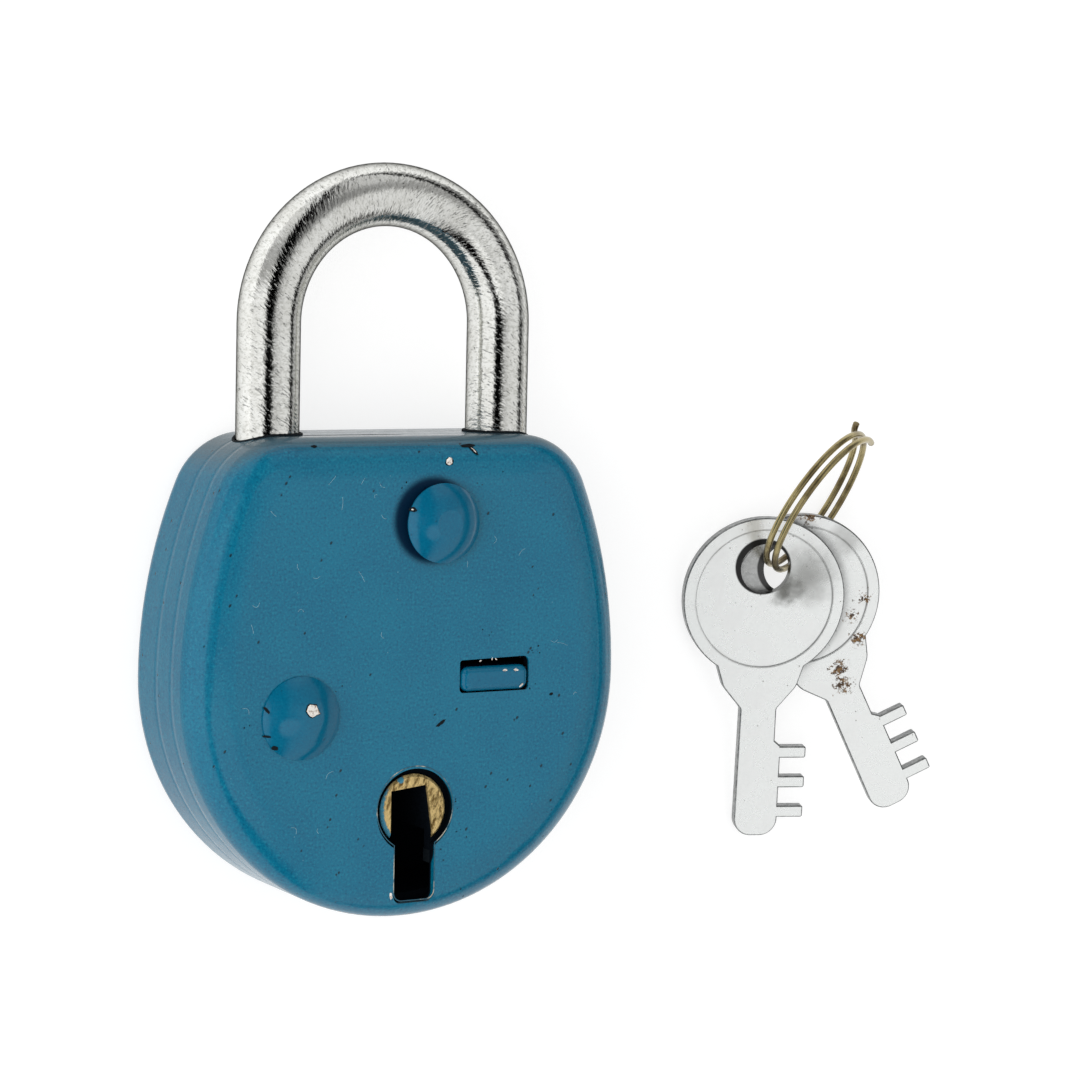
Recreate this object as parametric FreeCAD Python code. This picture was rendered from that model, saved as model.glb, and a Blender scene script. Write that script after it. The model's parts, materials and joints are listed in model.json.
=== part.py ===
"""Lever padlock with a pressed steel case, two keys and a split ring.

Frame: millimetres.  X points right, Y points toward the shackle and Z out of the front face.
The origin is on the flat rear face, on the axis of the case's round lower end.
At rest the lock lies on its rear face, the shackle is closed, the bolt is drawn back and the
levers stand at the height where the bolt stump can pass.
"""
import FreeCAD, Part
import math
import os

from FreeCAD import Placement, Rotation, Vector

# Case outline and thickness
case_width = 65.0             # widest, across the axis of the round lower end
case_top = 33.0               # from the origin to the flat top
case_thickness = 20.0         # rear face to front face
side_radius = 70.0            # gentle bow of the two sides
corner_radius = 10.4          # upper corners of the outline
front_fillet = 3.4            # rounded edge round the front face
rear_fillet = 3.0             # rounded edge round the rear face
sheet = 1.5                   # pressed steel of both case halves
rear_seam = 8.6               # height of the joint between rear half and middle band
front_seam = 13.6             # height of the joint between middle band and front half
liner_wall = 1.2              # inner lip of the band, which centres both halves
liner_reach = 2.0             # how far the lip reaches into each half
liner_fit = 0.1               # lip to case wall

# Clearances used by every fit
shaft_fit = 0.05              # radial, for parts that turn or slide on a shaft
face_fit = 0.1                # between faces that slide on each other
plate_fit = 0.15              # along the edge of a part that slides in a slot

# Shackle
rod_radius = 4.3
leg_spacing = 34.8            # between the two leg axes
crown_height = 14.9           # from the case top to the centre of the crown's bend
toe_depth = 12.0              # short leg inside the case
heel_depth = 28.0             # long leg inside the case
leg_chamfer = 0.7
hole_gap = 0.45               # radial, between a leg and the hole in the case top
shackle_lift = 13.0           # travel from closed to open
notch_height = 4.0            # cut in the toe leg for the bolt
notch_depth = 3.8
notch_above_end = 3.0         # solid toe left below the notch
groove_depth = 1.0            # retaining groove near the heel end
ring_mouth = 0.8              # opening of the retaining ring, as a share of the groove's width
heel_ring_thickness = 1.0
heel_ring_radius = 5.6
heel_end_land = 1.0           # solid heel left below the groove
guide_plate_thickness = 2.0
guide_plate_reach = 6.0       # of the guide plate past the heel leg's axis, toward the middle

# Rivets, tenon and their places
lever_rivet_x = -16.6
lever_rivet_y = -4.0
lever_shank = 3.0
lever_head_radius = 5.6
lever_head_height = 2.1
upper_rivet_x = 3.6
upper_rivet_y = 21.5
upper_shank = 2.75
upper_head_radius = 5.4
upper_head_height = 2.1
upper_head_gap = 1.1          # the upper rivet's head stands clear of the face
head_rim = 0.25               # straight rim of both rivet heads
head_flat_radius = 1.9        # flattened middle of the upper rivet's head
tail_flare = 1.1              # extra radius of the countersunk rivet tails
tail_depth = 0.9
spacer_wall = 1.6

tenon_x = 12.5
tenon_y = -0.05
tenon_width = 10.3
tenon_height = 3.4
tenon_corner = 1.2
tenon_proud = 0.5             # above the front face
tenon_round = 1.0             # rounded edge of its broad end
tenon_waist = 6.0             # narrowed part, which the bolt plate slides along
window_side_gap = 0.2
window_low_gap = 0.15
window_high_gap = 0.95        # at the left end of the window; the upper edge slopes up
window_slope = 0.25           # rise of the upper edge toward the right end
window_low_corner = 0.6
window_high_corner = 0.4
window_far_corner = 0.9       # at the high end of the upper edge

# Keyhole and key drum
drum_x = 0.7                  # the keyhole sits a little to the right
drum_above_bottom = 14.9      # from the lowest point of the case to the drum axis
keyhole_radius = 5.8
keyhole_slot_width = 6.2
keyhole_slot_end = 12.6       # from the drum axis to the lower end of the slot
keyhole_corner = 1.2
drum_face_radius = 4.95
drum_body_radius = 4.4
drum_recess = 0.5             # drum face below the case front
drum_flange_radius = 6.6
drum_flange_height = 1.4
drum_chamfer = 0.35
drum_slot_left = 3.4          # from the drum axis to the slot's left wall
drum_slot_right = 2.0         # to the upper end of its right wall
drum_slot_flare = 1.0         # how far that wall leans outward toward the bottom
drum_slot_low = 2.8           # height of the slot's upper edge at its left end
drum_slot_high = 3.4          # and at its right end
collar_wall = 1.6
collar_height = 1.9
bush_wall = 1.6
bush_height = 1.9

# Levers, bolt and stump
lever_thickness = 0.8
lever_gap = 0.12              # between the two levers of a pair
pair_offset = 4.6             # from the bolt's middle plane to the middle of each pair
lever_boss = 5.0
lever_swing = 4.5             # degrees from gate height down to rest on the drum side
lever_right = 22.8            # from the pivot to the free end
lever_top = 10.2              # from the pivot to the upper edge of the gate end
lever_low = -2.0              # from the pivot to the lower edge of the gate end
lever_shoulder = 4.2          # from the stump, left, to where the upper edge slopes down
belly_gap = 0.1               # between the key bits' circle and the lifted levers
bolt_thickness = 2.0
bolt_throw = 3.4
bolt_left = -7.0              # edges of the bolt plate, drawn back
bolt_right = 18.2
bolt_arm_right = 9.2
bolt_neck_y = -8.5            # lower edge of the plate beside the horns
bolt_shoulder_y = 6.0         # where the right edge turns in toward the arm
bolt_arm_y = 12.0             # where it reaches the arm
bolt_corner = 2.0
bolt_fine_corner = 0.5
horn_gap = 1.0                # from the key's side to each horn
horn_roof = 0.4               # from the bits' circle to the plate between the horns
nose_height = 3.5
nose_gap = 0.3                # between the drawn nose and the toe leg
stump_x = 0.0
stump_y = 1.0
stump_width = 1.6
stump_height = 2.4
stump_past_levers = 0.3       # at each end
gate_fit = 0.2                # between the stump and the levers' gate
horn_clearance = 0.4          # from the drum body to the bolt's horns
horn_width = 2.4

# Lever springs
spring_post_x = -9.5
spring_post_y = 13.0
spring_post_radius = 1.0
spring_wire = 0.6
spring_past_shoulder = 1.2    # where the arm's tip rests on the lever

# Keys
key_thickness = 1.8
bow_radius = 12.2
bow_disc_radius = 10.4        # shallow round recess in both sides of the bow
bow_disc_depth = 0.15
key_hole_radius = 3.75
key_hole_offset = 4.5         # from the bow's centre toward its top
shoulder_half = 6.6           # half width where the shoulder leaves the bow
shoulder_side_half = 5.6      # half width where the shoulder starts to close in
shoulder_side_at = 13.4       # from the bow's centre
shoulder_round = 3.0
key_shoulder_end = 16.8       # from the bow's centre to the lower end of the shoulder
key_outside = 1.8             # of the blade left outside the drum face by an inserted key
key_neck_half = 2.75
neck_corner = 0.8
key_belly_half = 3.7          # half width on the side of the bits
key_back_half = 2.9           # half width of the back at the tip
key_tip_radius = 2.6
key_tip_gap = 0.2             # from the tip of an inserted key to the rear wall
bit_radius = 7.6              # reach of the bits from the blade's middle line
bit_width = 1.75
bit_corner = 0.3
key_edge = 0.18               # bevel round the upper and lower edges

# Ring and how the keys lie beside the lock
ring_radius = 11.6
ring_wire = 0.48
ring_pitch = 1.5
ring_turns = 2
ring_heading = 46.6           # degrees from X, along which the ring stands
ring_lean = 44.0              # degrees from upright, toward the lock
ring_end_at = 12.0            # degrees round the ring, from its heading, to the wire's ends
ring_end_radius = 3.0         # outward bend of the wire's loose end
ring_end_turn = 45.0          # degrees of that bend
front_hole_x = 66.7
front_hole_y = 12.2
rear_hole_step_x = 3.9        # from the front key's hole to the rear key's hole
rear_hole_step_y = -0.3
ring_offset_x = 2.15          # where the ring passes the front key's hole
ring_offset_y = 0.0
key_stack_gap = 0.12
front_key_yaw = 0.0
rear_key_yaw = 26.5
key_roll = 20.0               # degrees; both keys rise to the right, where the ring holds them up
key_pitch = 6.0               # degrees; the tips drop toward the surface

# Sizes that follow from the values above
case_radius = case_width / 2
bolt_plane = case_thickness / 2
cavity_low = sheet
cavity_high = case_thickness - sheet
leg_x = leg_spacing / 2
crown_y = case_top + crown_height
toe_end = case_top - toe_depth
heel_end = case_top - heel_depth
notch_low = toe_end + notch_above_end
notch_middle = notch_low + notch_height / 2
drum_face = case_thickness - drum_recess
flange_high = cavity_high - face_fit
flange_low = flange_high - drum_flange_height
bolt_low = bolt_plane - bolt_thickness / 2
bolt_high = bolt_plane + bolt_thickness / 2
pair_half = lever_thickness + lever_gap / 2
far = 4 * case_width
key_face_at = key_shoulder_end + key_outside
drum_at = Vector(drum_x, drum_above_bottom - case_radius, 0)
lever_rivet_at = Vector(lever_rivet_x, lever_rivet_y, 0)
upper_rivet_at = Vector(upper_rivet_x, upper_rivet_y, 0)
tenon_at = Vector(tenon_x, tenon_y, 0)
stump_at = Vector(stump_x, stump_y, 0)
spring_post_at = Vector(spring_post_x, spring_post_y, 0)
key_stack = key_thickness + key_stack_gap
front_hole_at = Vector(front_hole_x, front_hole_y, 0)
rear_hole_step = Vector(rear_hole_step_x, rear_hole_step_y, 0)
ring_crosses_at = Vector(ring_offset_x, ring_offset_y, (key_stack + key_thickness) / 2)


def rounded_polygon(points, z):
    """Closed wire through points given as (x, y, corner radius), at height z."""
    count = len(points)
    starts, ends, mids = [], [], []
    for i in range(count):
        x, y, radius = points[i]
        here = Vector(x, y, z)
        before = Vector(points[i - 1][0], points[i - 1][1], z)
        after = Vector(points[(i + 1) % count][0], points[(i + 1) % count][1], z)
        to_before = (before - here).normalize()
        to_after = (after - here).normalize()
        half = to_before.getAngle(to_after) / 2
        setback = radius / math.tan(half)
        inward = (to_before + to_after).normalize()
        starts.append(here + to_before * setback)
        ends.append(here + to_after * setback)
        mids.append(here + inward * (radius / math.sin(half) - radius))
    edges = []
    for i in range(count):
        if points[i][2] > 0:
            edges.append(Part.Arc(starts[i], mids[i], ends[i]).toShape())
        follow = starts[(i + 1) % count]
        if (follow - ends[i]).Length > 1e-6:
            edges.append(Part.makeLine(ends[i], follow))
    return Part.Wire(edges)


def plate(points, z0, z1):
    """Flat plate with the given rounded outline between two heights."""
    face = Part.Face(rounded_polygon(points, z0))
    return face.extrude(Vector(0, 0, z1 - z0))


def box(x0, x1, y0, y1, z0, z1):
    return Part.makeBox(x1 - x0, y1 - y0, z1 - z0, Vector(x0, y0, z0))


def rod(radius, centre, z0, z1):
    """Upright round bar at the place of centre."""
    return Part.makeCylinder(radius, z1 - z0, Vector(centre.x, centre.y, z0))


def tube(outer, inner, centre, z0, z1):
    return rod(outer, centre, z0, z1).cut(rod(inner, centre, z0 - 1, z1 + 1))


def revolved(profile, centre):
    """Solid of revolution about the upright axis at centre, from (radius, z) points."""
    points = [Vector(r, 0, z) for r, z in profile]
    face = Part.Face(Part.makePolygon(points + points[:1]))
    solid = face.revolve(Vector(0, 0, 0), Vector(0, 0, 1), 360)
    solid.translate(Vector(centre.x, centre.y, 0))
    return solid


def edges_at(shape, z):
    return [e for e in shape.Edges if abs(e.BoundBox.ZMin - z) < 1e-4 and abs(e.BoundBox.ZMax - z) < 1e-4]


# ---------------------------------------------------------------- case

def outline_wire(inset, z):
    """Outline of the case, moved inward by inset: round below, bowed sides, flat top."""
    base = case_radius - inset
    side = side_radius - inset
    corner = corner_radius - inset
    side_x = case_radius - side_radius
    corner_y = case_top - corner_radius
    corner_x = side_x + math.sqrt((side_radius - corner_radius) ** 2 - corner_y ** 2)
    turn = math.atan2(corner_y, corner_x - side_x)

    def on_side(angle):
        return Vector(side_x + side * math.cos(angle), side * math.sin(angle), z)

    def on_corner(angle):
        return Vector(corner_x + corner * math.cos(angle), corner_y + corner * math.sin(angle), z)

    def mirrored(p):
        return Vector(-p.x, p.y, p.z)

    right = [on_side(0), on_side(turn / 2), on_side(turn)]
    bend = [on_side(turn), on_corner((turn + math.pi / 2) / 2), on_corner(math.pi / 2)]
    left = [mirrored(p) for p in reversed(right)]
    left_bend = [mirrored(p) for p in reversed(bend)]
    edges = [Part.Arc(*right).toShape(), Part.Arc(*bend).toShape()]
    edges.append(Part.makeLine(bend[-1], left_bend[0]))
    edges += [Part.Arc(*left_bend).toShape(), Part.Arc(*left).toShape()]
    edges.append(Part.Arc(left[-1], Vector(0, -base, z), right[0]).toShape())
    return Part.Wire(edges)


def case_prism(inset, z0, z1):
    return Part.Face(outline_wire(inset, z0)).extrude(Vector(0, 0, z1 - z0))


def shackle_holes():
    holes = []
    for x in (-leg_x, leg_x):
        start = Vector(x, case_top - corner_radius, bolt_plane)
        holes.append(Part.makeCylinder(rod_radius + hole_gap, 2 * corner_radius, start, Vector(0, 1, 0)))
    return Part.makeCompound(holes)


def cup(z_open, z_floor, fillet):
    """Pressed half shell: flat floor at z_floor, rounded edge, walls up to z_open."""
    low, high = min(z_open, z_floor), max(z_open, z_floor)
    outer = case_prism(0, low, high)
    outer = outer.makeFillet(fillet, edges_at(outer, z_floor))
    inner_floor = z_floor + math.copysign(sheet, z_open - z_floor)
    past_rim = z_open + math.copysign(1, z_open - z_floor)
    inner = case_prism(sheet, min(inner_floor, past_rim), max(inner_floor, past_rim))
    inner = inner.makeFillet(fillet - sheet, edges_at(inner, inner_floor))
    return outer.cut(inner).cut(shackle_holes())


def tail(shank, centre):
    """Countersunk tail of a rivet, from the rear face to the end of the flare."""
    profile = [(0, 0), (shank + tail_flare, 0), (shank, tail_depth), (0, tail_depth)]
    return revolved(profile, centre)


def rear_case():
    shell = cup(rear_seam, 0, rear_fillet)
    for shank, centre in ((lever_shank, lever_rivet_at), (upper_shank, upper_rivet_at)):
        shell = shell.cut(rod(shank, centre, -1, sheet + 1))
        shell = shell.cut(tail(shank, centre))
    return shell.cut(tenon_block(tenon_waist, -1, sheet + 1))


def window():
    """Slot for the guide block's tenon; its upper edge slopes up to the right."""
    left = tenon_at.x - tenon_width / 2 - window_side_gap
    right = tenon_at.x + tenon_width / 2 + window_side_gap
    low = tenon_at.y - tenon_height / 2 - window_low_gap
    high = tenon_at.y + tenon_height / 2 + window_high_gap
    points = [(left, low, window_low_corner), (right, low, window_low_corner)]
    points += [(right, high + window_slope, window_far_corner), (left, high, window_high_corner)]
    return plate(points, cavity_high - 1, case_thickness + 1)


def keyhole(z0, z1):
    """Round hole over the drum with a slot that runs down from it."""
    left, right = drum_at.x - keyhole_slot_width / 2, drum_at.x + keyhole_slot_width / 2
    low = drum_at.y - keyhole_slot_end
    points = [(left, low, keyhole_corner), (right, low, keyhole_corner)]
    points += [(right, drum_at.y, 0), (left, drum_at.y, 0)]
    slot = plate(points, z0, z1)
    return rod(keyhole_radius, drum_at, z0, z1).fuse(slot).removeSplitter()


def front_case():
    shell = cup(front_seam, case_thickness, front_fillet)
    for shank, centre in ((lever_shank, lever_rivet_at), (upper_shank, upper_rivet_at)):
        shell = shell.cut(rod(shank, centre, cavity_high - 1, case_thickness + 1))
    shell = shell.cut(window())
    return shell.cut(keyhole(cavity_high - 1, case_thickness + 1))


def case_band():
    """Middle band with an inner lip that centres both case halves."""
    ring = case_prism(0, rear_seam, front_seam)
    lip = case_prism(sheet + liner_fit, rear_seam - liner_reach, front_seam + liner_reach)
    hollow = case_prism(sheet + liner_fit + liner_wall, 0, case_thickness)
    return ring.fuse(lip).cut(hollow).cut(shackle_holes()).removeSplitter()


# ---------------------------------------------------------------- shackle

def bent_rod(radius, start, direction, centre, axis, degrees):
    """Round rod from start, bent about an axis through centre."""
    circle = Part.Circle(start, direction, radius).toShape()
    return Part.Face(Part.Wire([circle])).revolve(centre, axis, degrees)


def shackle():
    """U-shaped rod with a notch in the toe leg and a groove near the heel leg's end."""
    up = Vector(0, 1, 0)
    heel_foot = Vector(-leg_x, heel_end, bolt_plane)
    toe_foot = Vector(leg_x, toe_end, bolt_plane)
    heel = Part.makeCylinder(rod_radius, crown_y - heel_end, heel_foot, up)
    toe = Part.makeCylinder(rod_radius, crown_y - toe_end, toe_foot, up)
    crown_start = Vector(leg_x, crown_y, bolt_plane)
    crown_centre = Vector(0, crown_y, bolt_plane)
    crown = bent_rod(rod_radius, crown_start, up, crown_centre, Vector(0, 0, 1), 180)
    bar = heel.fuse([crown, toe]).removeSplitter()
    ends = [e for e in bar.Edges if e.BoundBox.YLength < 1e-4 and e.BoundBox.YMax < case_top]
    bar = bar.makeChamfer(leg_chamfer, ends)
    inner_side = leg_x - rod_radius
    notch = box(0, inner_side + notch_depth, notch_low, notch_low + notch_height, 0, case_thickness)
    base = heel_foot + up * heel_end_land
    ring = Part.makeCylinder(rod_radius + 1, heel_ring_thickness, base, up)
    core = Part.makeCylinder(rod_radius - groove_depth, heel_ring_thickness, base, up)
    return bar.cut(notch).cut(ring.cut(core))


def heel_ring():
    """Retaining ring snapped into the groove of the heel leg, open on one side."""
    base = Vector(-leg_x, heel_end + heel_end_land, bolt_plane)
    up = Vector(0, 1, 0)
    disc = Part.makeCylinder(heel_ring_radius, heel_ring_thickness, base, up)
    bore = Part.makeCylinder(rod_radius - groove_depth, heel_ring_thickness, base, up)
    mouth = ring_mouth * (rod_radius - groove_depth)
    opening = box(base.x - mouth, base.x + mouth, base.y, base.y + heel_ring_thickness, 0, bolt_plane)
    return disc.cut(bore).cut(opening)


def floor_half_width(y):
    """Half width of the flat part of the front wall at height y of the upper part."""
    inner = side_radius - front_fillet
    return case_radius - side_radius + math.sqrt(inner ** 2 - y ** 2)


def heel_guide():
    """Plate across the case that guides the heel leg and stops its retaining ring."""
    low = heel_end + heel_end_land + heel_ring_thickness + shackle_lift + face_fit
    high = low + guide_plate_thickness
    left = -floor_half_width(high)
    slab = box(left, guide_plate_reach - leg_x, low, high, cavity_low, cavity_high)
    start = Vector(-leg_x, low - 1, bolt_plane)
    bore = Part.makeCylinder(rod_radius + shaft_fit, guide_plate_thickness + 2, start, Vector(0, 1, 0))
    return slab.cut(bore)


# ---------------------------------------------------------------- rivets, spacers and guide block

def domed_head(radius, height, z, flat):
    """Rivet head from z up: straight rim, then a spherical dome with an optional flat middle."""
    rim_z, top_z = z + head_rim, z + height
    centre_z = (flat ** 2 - radius ** 2 + top_z ** 2 - rim_z ** 2) / (2 * (top_z - rim_z))
    ball = math.hypot(radius, rim_z - centre_z)
    turn = (math.atan2(rim_z - centre_z, radius) + math.atan2(top_z - centre_z, flat)) / 2
    middle = Vector(ball * math.cos(turn), 0, centre_z + ball * math.sin(turn))
    outline = [Vector(flat, 0, top_z), Vector(0, 0, top_z), Vector(0, 0, z), Vector(radius, 0, z),
               Vector(radius, 0, rim_z)]
    edges = [Part.Arc(outline[-1], middle, outline[0]).toShape()]
    edges += [Part.makeLine(a, b) for a, b in zip(outline, outline[1:]) if (b - a).Length > 1e-6]
    return Part.Face(Part.Wire(edges)).revolve(Vector(0, 0, 0), Vector(0, 0, 1), 360)


def rivet(shank, centre, head):
    head.translate(Vector(centre.x, centre.y, 0))
    stem = rod(shank, centre, 0, head.BoundBox.ZMin + head_rim)
    return stem.fuse([head, tail(shank, centre)]).removeSplitter()


def lever_rivet():
    head = domed_head(lever_head_radius, lever_head_height, case_thickness, 0)
    return rivet(lever_shank, lever_rivet_at, head)


def upper_rivet():
    under = case_thickness + upper_head_gap
    head = domed_head(upper_head_radius, upper_head_height, under, head_flat_radius)
    return rivet(upper_shank, upper_rivet_at, head)


def lever_levels():
    """Lower face of each lever, from the rear to the front."""
    levels = []
    for middle in (bolt_plane - pair_offset, bolt_plane + pair_offset):
        levels += [middle - pair_half, middle + lever_gap / 2]
    return levels


def lever_spacers():
    outer = lever_shank + spacer_wall
    lower = bolt_plane - pair_offset - pair_half - face_fit
    between_low = bolt_plane - pair_offset + pair_half + face_fit
    between_high = bolt_plane + pair_offset - pair_half - face_fit
    upper = bolt_plane + pair_offset + pair_half + face_fit
    spans = ((cavity_low, lower), (between_low, between_high), (upper, cavity_high))
    return Part.makeCompound([tube(outer, lever_shank, lever_rivet_at, a, b) for a, b in spans])


def upper_spacers():
    outer = upper_shank + spacer_wall
    spans = ((cavity_low, bolt_low - face_fit), (bolt_high + face_fit, cavity_high))
    return Part.makeCompound([tube(outer, upper_shank, upper_rivet_at, a, b) for a, b in spans])


def tenon_block(width, z0, z1):
    x0, x1 = tenon_at.x - width / 2, tenon_at.x + width / 2
    y0, y1 = tenon_at.y - tenon_height / 2, tenon_at.y + tenon_height / 2
    corners = [(x0, y0), (x1, y0), (x1, y1), (x0, y1)]
    return plate([(x, y, tenon_corner) for x, y in corners], z0, z1)


def guide_block():
    """Post that guides the bolt; its broad end shows in the window of the front case."""
    broad = tenon_block(tenon_width, bolt_high + face_fit, case_thickness + tenon_proud)
    broad = broad.makeFillet(tenon_round, edges_at(broad, case_thickness + tenon_proud))
    return broad.fuse(tenon_block(tenon_waist, 0, bolt_high + face_fit)).removeSplitter()


# ---------------------------------------------------------------- drum

def drum_slot(z0, z1):
    """Key slot of the drum, open downward, with a sloping upper edge and a flared right wall."""
    low_right = drum_slot_right + drum_slot_flare
    points = [(-drum_slot_left, drum_slot_low), (-drum_slot_left, -far), (low_right, -far)]
    points += [(low_right, -low_right), (drum_slot_right, drum_slot_high)]
    return plate([(drum_at.x + x, drum_at.y + y, 0) for x, y in points], z0, z1)


def key_drum():
    low = cavity_low + face_fit
    profile = [(0, low), (drum_body_radius, low), (drum_body_radius, flange_low)]
    profile += [(drum_flange_radius, flange_low), (drum_flange_radius, flange_high)]
    profile += [(drum_face_radius, flange_high), (drum_face_radius, drum_face - drum_chamfer)]
    profile += [(drum_face_radius - drum_chamfer, drum_face), (0, drum_face)]
    return revolved(profile, drum_at).cut(drum_slot(0, case_thickness))


def drum_collar():
    """Collar behind the front wall, in which the drum's flange turns."""
    inner = drum_flange_radius + shaft_fit
    ring = tube(inner + collar_wall, inner, drum_at, cavity_high - collar_height, cavity_high)
    return ring.cut(keyhole(0, case_thickness))


def rear_bush():
    """Bearing on the rear wall for the inner end of the drum."""
    inner = drum_body_radius + shaft_fit
    return tube(inner + bush_wall, inner, drum_at, cavity_low, cavity_low + bush_height)


# ---------------------------------------------------------------- levers, bolt and springs

def circle_point(centre, radius, degrees):
    a = math.radians(degrees)
    return Vector(centre.x + radius * math.cos(a), centre.y + radius * math.sin(a), 0)


def gate():
    """Opening in a lever: level gate with a pocket above each end for the dropped lever."""
    swing = math.radians(lever_swing)
    from_pivot = stump_at - lever_rivet_at
    drop = (from_pivot.x + bolt_throw + stump_width) * math.tan(swing)
    shift = (from_pivot.y + stump_height + drop) * math.tan(swing)
    low = stump_at.y - stump_height / 2 - gate_fit
    high = stump_at.y + stump_height / 2 + gate_fit
    half = stump_width / 2 + gate_fit
    left, right = stump_at.x, stump_at.x + bolt_throw
    level = box(left - half, right + half, low, high, 0, case_thickness)
    pockets = [box(x - half - shift, x + half, low, high + drop, 0, case_thickness) for x in (left, right)]
    return level.fuse(pockets).removeSplitter()


def lever(z):
    """Flat lever: round boss on the rivet, gate above the drum, belly over the key's bits."""
    pivot = lever_rivet_at
    belly = bit_radius + belly_gap
    end_x = pivot.x + lever_right
    left_angle, right_angle = 130, 58
    left_foot = circle_point(drum_at, belly, left_angle)
    right_foot = circle_point(drum_at, belly, right_angle)
    top = circle_point(drum_at, belly, (left_angle + right_angle) / 2)
    upper_start = circle_point(pivot, lever_boss, 100)
    lower_end = circle_point(pivot, lever_boss, 262)
    far_side = circle_point(pivot, lever_boss, 180)
    shoulder = Vector(stump_at.x - lever_shoulder, pivot.y + lever_top, 0)
    corner = Vector(end_x, pivot.y + lever_top, 0)
    heel = Vector(end_x, pivot.y + lever_low, 0)
    edges = [Part.Arc(upper_start, far_side, lower_end).toShape()]
    edges.append(Part.makeLine(lower_end, left_foot))
    edges.append(Part.Arc(left_foot, top, right_foot).toShape())
    edges.append(Part.makeLine(right_foot, heel))
    edges.append(Part.makeLine(heel, corner))
    edges.append(Part.makeLine(corner, shoulder))
    edges.append(Part.makeLine(shoulder, upper_start))
    body = Part.Face(Part.Wire(edges)).extrude(Vector(0, 0, lever_thickness))
    body.translate(Vector(0, 0, z))
    return body.cut(rod(lever_shank + shaft_fit, pivot, 0, case_thickness)).cut(gate())


def bolt_plate():
    """Sliding plate: nose for the toe leg, two guide slots and two horns for the key."""
    horn_low = drum_at.y + drum_body_radius + horn_clearance
    mid = drum_at.x - bolt_throw / 2
    notch_half = key_thickness / 2 + horn_gap
    nose_low = notch_middle - nose_height / 2
    nose_high = notch_middle + nose_height / 2
    nose_tip = leg_x - rod_radius - nose_gap
    horns_left, horns_right = mid - notch_half - horn_width, mid + notch_half + horn_width
    fine, wide = bolt_fine_corner, bolt_corner
    points = [(horns_left, horn_low, fine), (horns_right, horn_low, fine), (horns_right, bolt_neck_y, fine)]
    points += [(bolt_right, bolt_neck_y + wide, wide), (bolt_right, bolt_shoulder_y, wide)]
    points += [(bolt_arm_right, bolt_arm_y, wide), (bolt_arm_right, nose_low, fine)]
    points += [(nose_tip, nose_low, fine), (nose_tip, nose_high, fine), (bolt_left, nose_high, wide)]
    points += [(bolt_left, bolt_neck_y, fine), (horns_left, bolt_neck_y, 0)]
    body = plate(points, bolt_low, bolt_high)
    roof = drum_at.y + bit_radius + horn_roof
    notch = plate([(mid - notch_half, horn_low - 1, 0), (mid + notch_half, horn_low - 1, 0),
                   (mid + notch_half, roof, fine), (mid - notch_half, roof, fine)], 0, case_thickness)
    return body.cut(notch).cut(bolt_slots()).cut(stump_bar())


def bolt_slots():
    """Slots for the upper rivet's shank and for the guide block's waist."""
    r = upper_shank + shaft_fit
    x0, x1, y = upper_rivet_at.x - bolt_throw, upper_rivet_at.x, upper_rivet_at.y
    round_slot = box(x0, x1, y - r, y + r, 0, case_thickness)
    round_slot = round_slot.fuse([rod(r, Vector(x, y, 0), 0, case_thickness) for x in (x0, x1)])
    half_x = tenon_waist / 2 + plate_fit
    half_y = tenon_height / 2 + shaft_fit
    square_slot = box(tenon_at.x - half_x - bolt_throw, tenon_at.x + half_x,
                      tenon_at.y - half_y, tenon_at.y + half_y, 0, case_thickness)
    return round_slot.fuse(square_slot)


def stump_bar():
    half_x, half_y = stump_width / 2, stump_height / 2
    low = bolt_plane - pair_offset - pair_half - stump_past_levers
    high = bolt_plane + pair_offset + pair_half + stump_past_levers
    return box(stump_at.x - half_x, stump_at.x + half_x, stump_at.y - half_y, stump_at.y + half_y, low, high)


def spring_post():
    return rod(spring_post_radius, spring_post_at, cavity_low, cavity_high)


def lever_springs():
    """One small spring per lever: an eye on the post and an arm down to the lever."""
    inner = spring_post_radius
    outer = inner + spring_wire
    shoulder = Vector(stump_at.x - lever_shoulder, lever_rivet_at.y + lever_top, 0)
    tip = shoulder + Vector(spring_past_shoulder, face_fit + spring_wire / 2, 0)
    along = tip - spring_post_at
    reach = along.Length
    angle = math.degrees(math.atan2(along.y, along.x))
    springs = []
    for z in lever_levels():
        low, high = z + face_fit, z + lever_thickness - face_fit
        arm = box(inner + spring_wire / 2, reach, -spring_wire / 2, spring_wire / 2, low, high)
        arm.rotate(Vector(0, 0, 0), Vector(0, 0, 1), angle)
        arm.translate(spring_post_at)
        eye = tube(outer, inner, spring_post_at, low, high)
        springs.append(eye.fuse(arm).removeSplitter())
    return Part.makeCompound(springs)


# ---------------------------------------------------------------- keys and ring

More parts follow.
